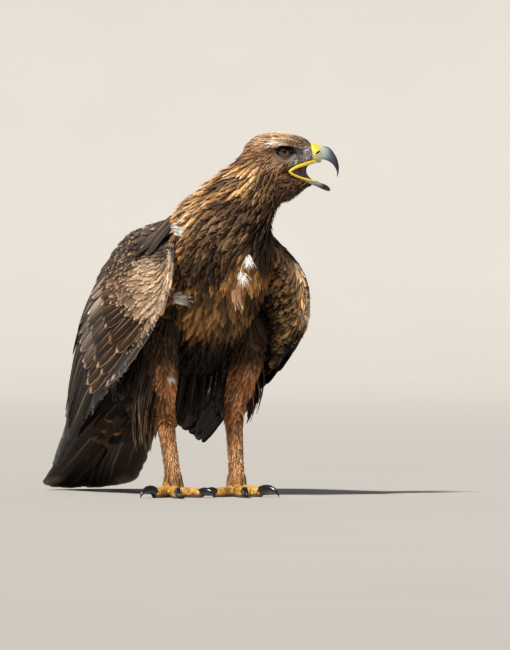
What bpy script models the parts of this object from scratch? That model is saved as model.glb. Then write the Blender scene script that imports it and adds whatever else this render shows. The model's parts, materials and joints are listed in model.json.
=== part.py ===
"""Golden eagle, life size, standing: the head is turned to its left with the bill open,
and the wings hang folded and a little clear of the flanks.

The bird faces -Y and its left side is +X. All sizes are in millimetres in the bird's own
frame, whose floor is z = 0 midway between the feet; add_node() turns them into metres and
settle() moves the finished bird so that its box stands on the origin.
"""

import math

import bmesh
import bpy
import numpy as np

MM = 0.001
GAP = 0.3  # between nodes that meet
HEAD_TURN = math.radians(68)  # from the body's heading to the bill, towards the bird's left
RIGHT, LEFT = -1, 1
SIDES = {"left": LEFT, "right": RIGHT}

PLUMAGE = (0.10, 0.052, 0.028)
HACKLE = (0.30, 0.15, 0.06)
FLIGHT = (0.035, 0.024, 0.018)
TAWNY = (0.33, 0.17, 0.08)
YELLOW = (0.80, 0.55, 0.06)
HORN = (0.16, 0.20, 0.24)
CLAW = (0.015, 0.015, 0.018)
MOUTH = (0.12, 0.03, 0.045)
IRIS = (0.20, 0.10, 0.04)


class Spline:
    """Smooth curve through rows of (knot, values...)."""

    def __init__(self, rows):
        rows = np.array(rows, float)
        self.knots, self.values = rows[:, 0], rows[:, 1:]
        self.slopes = np.gradient(self.values, self.knots, axis=0)

    def __call__(self, t):
        k, v, m = self.knots, self.values, self.slopes
        t = np.clip(np.asarray(t, float), k[0], k[-1])
        i = np.clip(np.searchsorted(k, t, side="right") - 1, 0, len(k) - 2)
        h = (k[i + 1] - k[i])[..., None]
        u = (t - k[i])[..., None] / h
        return (
            (2 * u**3 - 3 * u**2 + 1) * v[i]
            + (u**3 - 2 * u**2 + u) * h * m[i]
            + (3 * u**2 - 2 * u**3) * v[i + 1]
            + (u**3 - u**2) * h * m[i + 1]
        )


def unit(v):
    return v / np.maximum(np.linalg.norm(v, axis=-1, keepdims=True), 1e-9)


def smoothstep(x):
    x = np.clip(x, 0, 1)
    return x * x * (3 - 2 * x)


def bump(x, centre, held):
    return np.exp(-(((x - centre) / held) ** 2))


# ---------------------------------------------------------------- body lofts

# knot, then spine point x, y, z, half width, half height to the back, half height to the belly
TRUNK = Spline([
    (0.00, 0, 214, 152, 32, 17, 24),
    (0.08, 0, 196, 164, 41, 27, 38),
    (0.20, 0, 165, 182, 54, 41, 55),
    (0.40, 0, 112, 214, 70, 57, 82),
    (0.62, 0, 50, 250, 78, 66, 88),
    (0.85, 0, -12, 286, 79, 68, 79),
    (1.05, 0, -52, 322, 73, 64, 68),
    (1.25, 1, -72, 354, 63, 59, 60),
    (1.45, 12, -84, 386, 53, 47, 55),
    (1.65, 28, -94, 414, 43, 34, 48),
    (1.85, 42, -100, 438, 34, 26, 37),
])
TORSO_END, NECK_END = 1.25, 1.80
TWIST_START, TWIST_END = 1.05, 1.80  # where the neck turns towards the bill's heading


def trunk_frame(t):
    """Spine point, tangent, left-hand and dorsal directions, and the three half sizes."""
    row = TRUNK(t)
    ahead, behind = TRUNK(np.asarray(t) + 0.01)[..., :3], TRUNK(np.asarray(t) - 0.01)[..., :3]
    tangent = unit(ahead - behind)
    turn = HEAD_TURN * smoothstep((np.asarray(t, float) - TWIST_START) / (TWIST_END - TWIST_START))
    side = np.stack([np.cos(turn), np.sin(turn), 0 * turn], -1)
    side = unit(side - tangent * (side * tangent).sum(-1, keepdims=True))
    return row[..., :3], tangent, side, np.cross(tangent, side), row[..., 3:]


def trunk_point(t, phi, grow=0.0):
    """Point on the trunk: phi runs from the left side (0) over the back (90 degrees)."""
    centre, _, side, dorsal, half = trunk_frame(t)
    c, s = np.cos(phi), np.sin(phi)
    shoulders = 13 * bump(t, 1.12, 0.18) * bump(np.abs(c), 0.62, 0.3) * (s > 0)
    grow = grow + shoulders
    high = np.where(s > 0, half[..., 1], half[..., 2]) + grow
    wide = half[..., 0] + grow
    return centre + side * (wide * c)[..., None] + dorsal * (high * s)[..., None]


BILL_AIM = np.array([math.sin(HEAD_TURN), -math.cos(HEAD_TURN), 0.0])
HEAD_LEFT = np.array([math.cos(HEAD_TURN), math.sin(HEAD_TURN), 0.0])
UP = np.array([0.0, 0.0, 1.0])
EYE_LEVEL = np.array([65.2, -110.5, 445.0])  # on the head's midplane, level with the eyes


def head_frame(ahead, left, up):
    """Place in the bird's frame of a point given ahead of, left of and above EYE_LEVEL."""
    return (
        EYE_LEVEL
        + np.multiply.outer(ahead, BILL_AIM)
        + np.multiply.outer(left, HEAD_LEFT)
        + np.multiply.outer(up, UP)
    )


# distance ahead of the eyes, middle height, half height up, half height down, half width
HEAD = Spline([
    (-52, 1, 4, 6, 6),
    (-47, 1, 13, 17, 17),
    (-37, 0, 21.5, 27, 24.5),
    (-22, -1, 28, 33, 30.5),
    (-6, -1, 29, 33, 32.5),
    (8, -1, 26.5, 24, 31),
    (20, -1, 24, 17, 25),
    (30, -1, 19, 13, 17.5),
    (37, -0.5, 12, 11.5, 11.5),
])
EYE_RADIUS, EYE_OUT = 11.0, 19.0  # eyeball, and its centre's distance from the midplane
LID_RADIUS = 8.6


def head_point(ahead, phi, grow=0.0):
    row = HEAD(ahead)
    c, s = np.cos(phi), np.sin(phi)
    jaw = 1 - 0.45 * smoothstep((np.asarray(ahead, float) + 4) / 14)  # squarer below towards the bill
    c = np.where(s < 0, np.sign(c) * np.abs(c) ** jaw, c)
    high = np.where(s > 0, row[..., 1], row[..., 2]) + grow
    wide = row[..., 3] + grow
    left, up = wide * c, row[..., 0] + high * s
    level = up - row[..., 0]
    ahead = np.asarray(ahead, float)
    brow = 4.6 * bump(ahead, 8, 13) * bump(level, 13, 5.5)
    socket = -4.4 * bump(ahead, 1, 11) * bump(level, 0, 8.5)
    lores = -2.6 * bump(ahead, 20, 8) * bump(level, -1, 8)
    cheek = 2.2 * bump(ahead, -12, 13) * bump(level, -16, 10)
    left = left + np.sign(c) * np.abs(c) ** 0.5 * (brow + socket + lores + cheek)
    return head_frame_rows(ahead, left, up)


def head_frame_rows(ahead, left, up):
    ahead, left, up = np.broadcast_arrays(ahead, left, up)
    return (
        EYE_LEVEL
        + ahead[..., None] * BILL_AIM
        + left[..., None] * HEAD_LEFT
        + up[..., None] * UP
    )


# ---------------------------------------------------------------- folded wing

# knot from wrist to wing tip, then the leading edge, the outer bow and the trailing edge
WING = Spline([
    (0.00, 92, -86, 248, 89, -124, 293, 66, -52, 336),
    (0.10, 104, -70, 216, 124, -66, 286, 64, -4, 352),
    (0.22, 113, -22, 177, 148, -5, 262, 68, 48, 350),
    (0.36, 113, 56, 141, 150, 72, 232, 76, 105, 330),
    (0.50, 106, 135, 112, 139, 150, 200, 82, 165, 286),
    (0.64, 96, 205, 87, 118, 214, 158, 86, 216, 222),
    (0.80, 86, 288, 60, 93, 286, 91, 83, 282, 124),
    (1.00, 73, 384, 32, 73, 381, 40, 70, 375, 48),
])
# how each wing is held: knot, distance further out, rise of the trailing edge
HELD = {
    LEFT: Spline([(0, 12, 0), (0.1, 5, 0), (0.2, -11, 0), (0.3, -21, 2), (0.45, -20, 8), (0.64, -8, 20), (0.8, 0, 30), (1, 0, 6)]),
    RIGHT: Spline([(0, 0, 0), (1, 0, 0)]),
}


def wing_point(p, q, held):
    """Point on the left wing's outer face: q runs from the leading to the trailing edge."""
    p, q = np.broadcast_arrays(np.asarray(p, float), np.asarray(q, float))
    row, q = WING(p), q[..., None]
    out, rise = np.moveaxis(held(p), -1, 0)
    row[..., 0::3] += out[..., None] * (1, 1, 0.5)
    row[..., 8] += rise
    lead, bow, trail = row[..., 0:3], row[..., 3:6], row[..., 6:9]
    return (1 - q) ** 2 * lead + 2 * q * (1 - q) * bow + q**2 * trail


def wing_normal(p, q, held):
    step = 0.01
    p, q = np.broadcast_arrays(np.asarray(p, float), np.asarray(q, float))
    along = wing_point(np.minimum(p + step, 1), q, held) - wing_point(np.maximum(p - step, 0), q, held)
    across = wing_point(p, q + step, held) - wing_point(p, q - step, held)
    return unit(np.cross(along, across))


# ---------------------------------------------------------------- mesh making

def tube(rings):
    """Closed mesh through rings of equal length, with a flat fan at each end."""
    rings = np.asarray(rings, float)
    n, m, _ = rings.shape
    points = np.vstack([rings.reshape(-1, 3), rings[0].mean(0), rings[-1].mean(0)])
    faces = []
    for j in range(m):
        k = (j + 1) % m
        for i in range(n - 1):
            a, b, c, d = i * m + j, i * m + k, (i + 1) * m + k, (i + 1) * m + j
            faces += [(a, b, c), (a, c, d)]
        faces += [(n * m, k, j), (n * m + 1, (n - 1) * m + j, (n - 1) * m + k)]
    return points, faces


def shell(top, low):
    """Closed mesh between two grids of points that face each other."""
    n, m, _ = top.shape
    points = np.vstack([top.reshape(-1, 3), low.reshape(-1, 3)])
    at = np.arange(n * m).reshape(n, m)
    faces = []
    for i in range(n - 1):
        for j in range(m - 1):
            a, b, c, d = at[i, j], at[i, j + 1], at[i + 1, j + 1], at[i + 1, j]
            faces += [(a, b, c), (a, c, d), (a + n * m, c + n * m, b + n * m), (a + n * m, d + n * m, c + n * m)]
    rim = [*at[0, :-1], *at[:-1, -1], *at[-1, :0:-1], *at[:0:-1, 0]]
    for a, b in zip(rim, rim[1:] + rim[:1]):
        faces += [(a, a + n * m, b + n * m), (a, b + n * m, b)]
    return points, [tuple(int(i) for i in face) for face in faces]


def round_tube(path, radii, sides, flat=1.0, up=UP, floor=None):
    """Tube along a path; flat squeezes it along up, and floor cuts it level from below."""
    path = np.asarray(path, float)
    tangent = unit(np.gradient(path, axis=0))
    side = unit(np.cross(tangent, up))
    top = np.cross(side, tangent)
    phi = np.linspace(0, 2 * np.pi, sides, endpoint=False)
    radii = np.broadcast_to(np.asarray(radii, float), len(path))[:, None, None]
    ring = side[:, None] * np.cos(phi)[:, None] + flat * top[:, None] * np.sin(phi)[:, None]
    rings = path[:, None] + ring * radii
    if floor is not None:
        rings[..., 2] = np.maximum(rings[..., 2], floor)
    return tube(rings)


FLIGHT_SHAPE = Spline([(0, 0.45), (0.2, 0.8), (0.55, 1), (0.82, 0.96), (0.94, 0.72), (1, 0.3)])
COVERT_SHAPE = Spline([(0, 0.6), (0.3, 0.95), (0.6, 1), (0.85, 0.8), (1, 0.25)])
POINTED_SHAPE = Spline([(0, 0.6), (0.3, 1), (0.6, 0.85), (0.85, 0.45), (1, 0.1)])


def vane(path, side, normal, width, thick, tilt, shape, ridge=0.6):
    """Closed feather blade with a raised shaft, or a flat one where ridge is 0.

    tilt lowers its trailing edge."""
    n = len(path)
    s = np.linspace(0, 1, n)
    half = (0.5 * width * shape(s)[:, 0])[:, None]
    thin = (thick * (1 - 0.45 * s))[:, None]
    near, far = path - side * half + normal * tilt * half, path + side * half - normal * tilt * half
    top = [near, path + normal * ridge, far] if ridge else [near, far]
    rings = np.stack(top + [far - normal * thin, near - normal * thin], 1)
    m = rings.shape[1]
    faces = []
    for i in range(n - 1):
        a, b = m * i, m * (i + 1)
        for j in range(m - 2):
            faces += [(a + j, a + j + 1, b + j + 1), (a + j, b + j + 1, b + j)]
        # the underside is split along the same diagonal as the top
        near_low, far_low = m - 1, m - 2
        faces += [(a + near_low, b + far_low, a + far_low), (a + near_low, b + near_low, b + far_low)]
        faces += [(a, b, b + near_low), (a, b + near_low, a + near_low)]
    for k in range(1, m - 1):
        faces += [(0, k + 1, k), (m * (n - 1), m * (n - 1) + k, m * (n - 1) + k + 1)]
    return rings.reshape(-1, 3), faces


def material(name, colour, roughness=0.7):
    made = bpy.data.materials.get(name) or bpy.data.materials.new(name)
    made.use_nodes = True
    shader = made.node_tree.nodes["Principled BSDF"]
    shader.inputs["Base Color"].default_value = (*colour, 1)
    shader.inputs["Roughness"].default_value = roughness
    return made


def mesh_object(name, points, faces):
    mesh = bpy.data.meshes.new(name)
    mesh.from_pydata([tuple(p) for p in np.asarray(points) * MM], [], faces)
    cleaned(mesh)
    made = bpy.data.objects.new(name, mesh)
    bpy.context.scene.collection.objects.link(made)
    return made


def cleaned(mesh):
    """Faces turned outwards, and only the largest closed surface kept."""
    work = bmesh.new()
    work.from_mesh(mesh)
    bmesh.ops.recalc_face_normals(work, faces=work.faces)
    islands, seen = [], set()
    for face in work.faces:
        if face in seen:
            continue
        island, todo = [], [face]
        seen.add(face)
        while todo:
            at = todo.pop()
            island.append(at)
            for edge in at.edges:
                for other in edge.link_faces:
                    if other not in seen:
                        seen.add(other)
                        todo.append(other)
        islands.append(island)
    islands.sort(key=lambda island: sum(f.calc_area() for f in island))
    loose = [f for island in islands[:-1] for f in island]
    if loose:
        bmesh.ops.delete(work, geom=loose, context="FACES")
    if work.calc_volume(signed=True) < 0:
        bmesh.ops.reverse_faces(work, faces=work.faces)
    work.to_mesh(mesh)
    work.free()


def boolean(body, pieces, operation):
    """Joins the pieces to body, or cuts them from it, and removes them."""
    # EXACT leaves the head's lids open and pinches the wings' thin vanes
    solver = "MANIFOLD" if body.name in ("head", "wing_left", "wing_right") else "EXACT"
    group = bpy.data.collections.new("pieces")
    bpy.context.scene.collection.children.link(group)
    for piece in pieces:
        bpy.context.scene.collection.objects.unlink(piece)
        group.objects.link(piece)
    step = body.modifiers.new("join", "BOOLEAN")
    step.operation, step.solver = operation, solver
    step.operand_type, step.collection = "COLLECTION", group
    graph = bpy.context.evaluated_depsgraph_get()
    result = bpy.data.meshes.new_from_object(body.evaluated_get(graph))
    body.modifiers.clear()
    body.data = result
    for piece in pieces:
        bpy.data.objects.remove(piece)
    bpy.data.collections.remove(group)
    cleaned(body.data)
    return body


def joined(name, shapes):
    """One closed body from several overlapping shapes, each given as (points, faces)."""
    body = mesh_object(name, *shapes[0])
    pieces = [mesh_object(name + "_piece", *shape) for shape in shapes[1:]]
    return boolean(body, pieces, "UNION") if pieces else body


def grown(body, by=GAP):
    """Copy of a node swollen along its vertex normals, which cuts its neighbours clear."""
    copy = body.copy()
    copy.data = body.data.copy()
    bpy.context.scene.collection.objects.link(copy)
    work = bmesh.new()
    work.from_mesh(copy.data)
    bmesh.ops.triangulate(work, faces=work.faces)
    work.normal_update()
    moves = [(v, v.normal.copy() * (by * MM * 1.3)) for v in work.verts]
    for vert, move in moves:
        vert.co += move
    work.to_mesh(copy.data)
    work.free()
    return copy


def cut_clear(body, *others, by=GAP):
    return boolean(body, [grown(other, by) for other in others], "DIFFERENCE")


def finish_node(body, look, smooth=True):
    body.data.materials.clear()
    body.data.materials.append(look)
    if smooth:
        body.data.shade_smooth()
        body.data.set_sharp_from_angle(angle=math.radians(40))
    return body


# ---------------------------------------------------------------- torso and neck

ROUND = np.linspace(0, 2 * np.pi, 24, endpoint=False)


def trunk_rings(start, end, count, phis=ROUND):
    return [trunk_point(np.full(len(phis), t), phis) for t in np.linspace(start, end, count)]


def make_torso():
    return mesh_object("torso", *tube(trunk_rings(0.0, TORSO_END, 12)))


HACKLE_ROWS = 2
HACKLE_LENGTH, HACKLE_WIDTH = 0.24, 21.0  # length in knots of the trunk


def make_neck():
    """The neck with tiers of pointed hackles from the nape to the shoulders."""
    shapes = [tube(trunk_rings(TORSO_END + 0.008, NECK_END, 7, ROUND[::2]))]
    for row in range(HACKLE_ROWS):
        root = 1.68 - 0.17 * row
        count = 9 + row
        for k in range(count):
            phi = 2 * np.pi * (k + 0.5 * (row % 2)) / count
            long = HACKLE_LENGTH * (0.80 + 0.1 * row)
            tip = max(root - long, TORSO_END + 0.02)
            t = np.linspace(root, tip, 4)
            lift = np.array([-1.5, 1.6, 3.0, 4.2])
            at = np.full(4, phi)
            path = trunk_point(t, at, lift)
            along = unit(np.gradient(path, axis=0))
            normal = unit(trunk_point(t, at, lift + 1) - path)
            side = unit(np.cross(normal, along))
            shapes.append(vane(path, side, normal, HACKLE_WIDTH, 1.6, 0.0, POINTED_SHAPE, 0))
    return joined("neck", shapes)


# ---------------------------------------------------------------- head

def profile_rings(rows, sides=16, trough=0.0, square=1.0):
    """Rings between pairs of upper and lower profile points: (ahead, up, ahead, up, half width).

    trough hollows their top, and square below 1 widens their lower half."""
    phi = np.linspace(0, 2 * np.pi, sides, endpoint=False)
    rings = []
    for top_a, top_u, low_a, low_u, wide in rows:
        c, s = np.cos(phi), np.sin(phi)
        c = np.where(s < 0, np.sign(c) * np.abs(c) ** square, c)
        if trough:
            s = np.where(s > 0, s * (1 - trough * s * s), s)
        mid_a, mid_u = (top_a + low_a) / 2, (top_u + low_u) / 2
        ahead = mid_a + (top_a - low_a) / 2 * s
        up = mid_u + (top_u - low_u) / 2 * s
        rings.append(head_frame_rows(ahead, wide * c, up))
    return rings


BILL = [
    (48.6, 8.8, 46.6, -12.6, 9.3),
    (54.5, 8.2, 50.5, -13.2, 8.5),
    (60.0, 4.6, 55.0, -14.2, 7.3),
    (65.2, -2.6, 59.6, -16.2, 5.8),
    (68.8, -10.5, 63.4, -19.6, 4.3),
    (70.1, -17.8, 65.9, -23.6, 2.9),
    (69.6, -25.0, 67.0, -28.0, 1.7),
    (68.0, -30.6, 67.0, -31.0, 0.6),
]
CERE = [
    (30.0, 13.0, 31.0, -10.0, 9.0),
    (37.0, 11.8, 37.5, -12.0, 10.6),
    (43.0, 10.2, 42.0, -12.4, 10.2),
    (48.3, 9.0, 46.3, -12.6, 9.5),
]
MANDIBLE = [
    (8.0, -26.2, 7.5, -30.0, 23.5),
    (21.0, -31.2, 19.5, -36.0, 18.5),
    (30.0, -32.8, 29.6, -40.0, 14.0),
    (37.2, -33.6, 38.4, -42.2, 10.8),
    (46.0, -35.6, 48.0, -46.4, 7.8),
    (53.4, -38.9, 54.5, -48.8, 5.0),
    (59.0, -46.6, 58.0, -49.0, 1.6),
]
CHIN = [
    (-24.0, -10.0, -22.0, -56.0, 22.0),
    (-6.0, -14.0, -6.0, -62.0, 24.5),
    (6.0, -22.0, 6.0, -60.0, 22.5),
    (15.0, -31.0, 15.0, -53.0, 17.5),
    (25.0, -38.0, 25.0, -47.5, 12.5),
    (35.0, -41.6, 35.0, -44.0, 6.5),
]
MOUTH_LINING = [
    (3.0, -19.0, 3.0, -30.0, 20.0),
    (12.0, -17.0, 13.0, -32.0, 19.0),
    (22.0, -13.0, 24.0, -36.0, 15.5),
    (29.0, -10.0, 33.0, -38.0, 12.0),
]
THROAT = [  # hollow of the mouth
    (15.0, -22.0, 15.0, -28.0, 7.0),
    (24.0, -15.5, 25.0, -32.0, 11.5),
    (36.0, -12.0, 38.0, -36.0, 11.0),
]
GAPE_LIP = [(5.5, 24.6, -24.4), (15.6, 22.0, -18.6), (26.0, 16.2, -15.0), (34.0, 9.6, -12.2), (41.0, 5.6, -11.0)]
NOSTRIL = (43.0, 0.2)


def make_cere():
    """Yellow cere with the nostrils, and the fleshy lip along the upper jaw to the gape."""
    shapes = [tube(profile_rings(CERE, 18, square=0.6))]
    for sign in (LEFT, RIGHT):
        path = [head_frame_rows(a, sign * o, u) for a, o, u in GAPE_LIP]
        shapes.append(round_tube(path, [1.4, 1.9, 2.0, 1.9, 1.4], 7))
    cere = joined("cere", shapes)
    pits = []
    for sign in (LEFT, RIGHT):
        a, u = NOSTRIL
        path = [head_frame_rows(a - 1.4 + 2.8 * s, sign * 10.2, u - 2.8 + 5.6 * s) for s in (0, 0.33, 0.67, 1)]
        pits.append(mesh_object("nostril", *round_tube(path, [0.7, 1.6, 1.6, 0.7], 7)))
    return boolean(cere, pits, "DIFFERENCE")


def head_rings(count_round):
    phis = np.linspace(0, 2 * np.pi, count_round, endpoint=False)
    aheads = [-52, -49, -43, -33, -21, -11, -4, 2, 8, 14, 21, 28, 36]
    return [head_point(np.full(count_round, a), phis) for a in aheads]


def make_eye(name, sign):
    phis = np.linspace(0, 2 * np.pi, 14, endpoint=False)
    rings = []
    for angle in np.linspace(0.12, np.pi - 0.12, 7):
        out = EYE_OUT - EYE_RADIUS * math.cos(angle)
        ring = EYE_RADIUS * math.sin(angle)
        rings.append(head_frame_rows(ring * np.cos(phis), sign * np.full(14, out), ring * np.sin(phis)))
    return mesh_object(name, *tube(rings))


def make_head(eyes):
    """Feathered head and chin, with sockets, brows and lids for the eyes."""
    head = joined("head", [tube(head_rings(20)), tube(profile_rings(CHIN, 10))])
    lids, openings = [], []
    for sign in (LEFT, RIGHT):
        turn = np.linspace(0, 2 * np.pi, 15)[:-1]
        ring = []
        for w in turn:
            hooded = 0.80 if math.sin(w) > 0 else 1.0  # the brow flattens the upper lid
            ring.append((LID_RADIUS * math.cos(w) * 1.06, LID_RADIUS * math.sin(w) * hooded))
        ring = np.array(ring)
        rings = []
        for out, scale in ((22.0, 1.0), (44.0, 1.0)):
            rings.append(head_frame_rows(ring[:, 0] * scale, np.full(14, sign * out), ring[:, 1] * scale))
        openings.append(mesh_object("opening", *tube(rings)))
        rim = []
        for k in range(14):
            around = np.array([math.cos(turn[k]), math.sin(turn[k])])
            rim_ring = []
            for w in np.linspace(0, 2 * np.pi, 5, endpoint=False):
                flat = ring[k] + around * (0.9 + 1.3 * math.cos(w))
                out = 28.6 - 0.05 * abs(ring[k][0]) + 1.3 * math.sin(w)
                rim_ring.append((flat[0], sign * out, flat[1]))
            rim.append(rim_ring)
        rim = np.array(rim)
        points = head_frame_rows(rim[..., 0], rim[..., 1], rim[..., 2]).reshape(-1, 3)
        faces = []
        for i in range(14):
            for j in range(5):
                a, b = i * 5 + j, i * 5 + (j + 1) % 5
                c, d = ((i + 1) % 14) * 5 + (j + 1) % 5, ((i + 1) % 14) * 5 + j
                faces += [(a, b, c), (a, c, d)]
        lids.append(mesh_object("lid", points, faces))
    head = boolean(head, openings, "DIFFERENCE")
    head = boolean(head, lids, "UNION")
    return cut_clear(head, *eyes)


def make_tongue():
    rows = [
        (14.0, -27.0, 14.0, -29.6, 7.0),
        (24.0, -30.0, 24.0, -33.0, 6.0),
        (33.0, -32.0, 33.0, -34.6, 4.6),
        (39.0, -33.4, 39.0, -35.2, 1.6),
    ]
    return mesh_object("tongue", *tube(profile_rings(rows, 12)))


# ---------------------------------------------------------------- wings

WING_CORE_END = 0.62
SECONDARIES, TERTIALS, PRIMARIES = 8, 3, 6


def wing_core(held):
    """Arm and feather bases: a shell that thins to nothing under the coverts' tips."""
    count_p, count_q = 8, 7
    top, low = [], []
    for p in np.linspace(0.0, WING_CORE_END, count_p):
        q = np.linspace(0.0, 1.0, count_q)
        at = np.full(count_q, p)
        point, normal = wing_point(at, q, held), wing_normal(at, q, held)
        edge = np.sqrt(np.clip(1 - (2 * q - 1) ** 6, 0, 1))[:, None]
        fade = 1 - smoothstep((p - 0.30) / (WING_CORE_END - 0.26))
        front = math.sqrt(min(1, (p + 0.004) / 0.10))
        outer, inner = 3.0 * fade * front, (5.0 + 10.0 * fade) * front
        top.append(point + normal * (outer * edge + 0.4))
        low.append(point - normal * (inner * edge + 0.4))
    return shell(np.array(top), np.array(low))


def wing_vane(held, root, tip, width, height, thick, shape, stations, tilt, ridge=0.6):
    """Feather laid over the wing: root and tip are (p, q), height its rise over the skin at each."""
    s = np.linspace(0, 1, stations)
    p = root[0] + (tip[0] - root[0]) * s
    q = root[1] + (tip[1] - root[1]) * s
    normal = wing_normal(p, np.clip(q, 0.02, 0.98), held)
    lift = height[0] + (height[1] - height[0]) * s
    path = wing_point(p, q, held) + normal * lift[:, None]
    along = unit(np.gradient(path, axis=0))
    side = unit(np.cross(normal, along))
    upper = wing_point(p, q + 0.01, held) - wing_point(p, q - 0.01, held)
    side *= np.sign((side * upper).sum(-1, keepdims=True))
    return vane(path, side, normal, width, thick, tilt, shape, ridge)


# tier: count, root p and q at the leading and trailing ends, tip p and q likewise, width,
# rise at root and tip, thickness, outline, stations, tilt, shaft ridge
WING_TIERS = [
    (PRIMARIES, (0.34, 0.10), (0.34, 0.20), (1.00, 0.30), (0.84, 0.56), 30, (-3.4, -0.6), 1.8, FLIGHT_SHAPE, 5, 0.05, 0.6),
    (SECONDARIES, (0.36, 0.14), (0.36, 0.80), (0.765, 0.10), (0.695, 0.94), 38, (-0.8, 2.6), 1.9, FLIGHT_SHAPE, 4, 0.085, 0.6),
    (TERTIALS, (0.24, 0.74), (0.24, 0.92), (0.66, 0.86), (0.50, 0.96), 36, (0.6, 5.0), 1.9, FLIGHT_SHAPE, 4, 0.08, 0),
    (7, (0.30, 0.08), (0.30, 0.86), (0.49, 0.06), (0.46, 0.90), 37, (0.8, 4.8), 1.7, COVERT_SHAPE, 4, 0.09, 0),
    (3, (0.20, 0.04), (0.25, 0.08), (0.42, 0.04), (0.49, 0.10), 20, (0.6, 3.2), 1.6, COVERT_SHAPE, 4, 0.06, 0),
    (6, (0.20, 0.07), (0.20, 0.89), (0.365, 0.06), (0.345, 0.93), 41, (2.0, 7.0), 1.6, COVERT_SHAPE, 3, 0.09, 0),
    (5, (0.10, 0.08), (0.10, 0.88), (0.235, 0.06), (0.235, 0.92), 44, (1.6, 7.4), 1.6, COVERT_SHAPE, 3, 0.10, 0),
]


# tips of the innermost secondaries: the left wing hangs looser and shows its own between the legs
INNER_TIP = {LEFT: (0.82, 0.93), RIGHT: (0.70, 0.94)}
# tips of the first and the last primary: the left wing's reach less far back
PRIMARY_TIPS = {LEFT: ((0.80, 0.10), (0.75, 0.50)), RIGHT: ((1.00, 0.30), (0.84, 0.56))}
# feathers that hang below the left wing's wrist, laid out as a tier
HANGING = (4, (0.06, 0.14), (0.11, 0.24), (0.17, -0.05), (0.29, -0.08), 27, (-2.0, -1.0), 1.7, COVERT_SHAPE, 4, 0.05, 0)


def wing_feathers(sign):
    """All vanes of a left wing, from the primaries out to the small coverts."""
    made, held = [], HELD[sign]
    tiers = WING_TIERS + [HANGING] * (sign == LEFT)
    for count, root_a, root_b, tip_a, tip_b, width, rise, thick, shape, stations, tilt, ridge in tiers:
        if count == SECONDARIES:
            tip_b = INNER_TIP[sign]
        if root_b == (0.34, 0.20):
            tip_a, tip_b = PRIMARY_TIPS[sign]
        for f in np.linspace(0, 1, count):
            root = np.add(root_a, np.subtract(root_b, root_a) * f)
            tip = np.add(tip_a, np.subtract(tip_b, tip_a) * f)
            made.append(wing_vane(held, root, tip, width, rise, thick, shape, stations, tilt, ridge))
    return made


def mirrored(shape):
    points, faces = shape
    return np.asarray(points) * (-1, 1, 1), [face[::-1] for face in faces]


def make_wing(name, sign, torso, neck_core):
    shapes = [wing_core(HELD[sign])] + wing_feathers(sign)
    if sign == RIGHT:
        shapes = [mirrored(shape) for shape in shapes]
    wing = joined(name, shapes)
    return cut_clear(wing, torso, neck_core)


# ---------------------------------------------------------------- tail

TAIL_ROOT, TAIL_TIP = np.array([0, 216.0, 151.0]), np.array([-15.0, 430.0, 4.0])
RECTRICES, FAN, TAIL_BASE = 12, math.radians(9.0), 14.0
RECTRIX_WIDTH = 46.0


def tail_frame():
    along = unit(TAIL_TIP - TAIL_ROOT)
    side = unit(np.cross(along, UP))
    return along, side, np.cross(side, along)


def tail_path(out, start, length, lift, stations):
    """Feather path fanned from the tail's root: out runs from -1 to 1, lift is the rise at each end."""
    along, side, up = tail_frame()
    s = np.linspace(0, 1, stations)
    fan = FAN * out
    heading = along * math.cos(fan) + side * math.sin(fan)
    rise = lift[0] + (lift[1] - lift[0]) * s
    root = TAIL_ROOT + side * TAIL_BASE * out
    path = root + np.outer(start + length * s, heading) + np.outer(rise, up)
    across = side * math.cos(fan) - along * math.sin(fan)
    return path, np.tile(across, (stations, 1)), np.tile(up, (stations, 1))


def make_tail(torso, wings):
    """Twelve tail feathers, the middle pair on top, with the coverts above and below."""
    along, side, up = tail_frame()
    length = np.linalg.norm(TAIL_TIP - TAIL_ROOT)
    rings = []
    phi = np.linspace(0, 2 * np.pi, 16, endpoint=False)
    for at, wide, over, under in ((-16, 32, 14, 22), (10, 42, 15, 26), (45, 47, 11, 25), (85, 48, 6, 16), (120, 46, 2, 7)):
        s = np.sin(phi)
        high = np.where(s > 0, over, under) * s - 3.0
        rings.append(TAIL_ROOT + along * at + np.outer(wide * np.cos(phi), side) + np.outer(high, up))
    shapes = [tube(rings)]
    for k in range(RECTRICES):
        out = (k - (RECTRICES - 1) / 2) / ((RECTRICES - 1) / 2)
        depth = -1.0 - 7.5 * abs(out - 0.06)  # off the middle, so that no two blades meet along an edge
        reach = length * (1.0 - 0.05 * out * out)
        path, across, normal = tail_path(out, 14, reach - 14, (depth * 0.6, depth), 5)
        shapes.append(vane(path, across, normal, RECTRIX_WIDTH, 1.8, 0.03 * np.sign(out), FLIGHT_SHAPE))
    for side_up, count, reach, lift in ((1, 4, 125, (4, 4.5)), (-1, 6, 150, (-18, -10))):
        for k in range(count):
            out = (k - (count - 1) / 2) / ((count - 1) / 2)
            path, across, normal = tail_path(1.1 * out, 6, reach * (1 - 0.15 * abs(out)), lift, 4)
            path = path - normal * (2.2 * abs(out - 0.06))
            shapes.append(vane(path, across * side_up, normal * side_up, 44, 1.7, 0.0, COVERT_SHAPE, 0))
    shapes = [(np.maximum(points, (-1e9, -1e9, 0.0)), faces) for points, faces in map(floored, shapes)]
    return cut_clear(joined("tail", shapes), torso, *wings)


def floored(shape):
    """A vane that would sink below the floor is lifted station by station to lie along it."""
    points, faces = np.array(shape[0], float), shape[1]
    if points[:, 2].min() > 0.2 or len(points) % 5:
        return points, faces
    rings = points.reshape(-1, 5, 3)
    rings[..., 2] += np.maximum(0, -rings[..., 2].min(1))[:, None]
    return rings.reshape(-1, 3), faces


# ---------------------------------------------------------------- legs and feet

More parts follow.
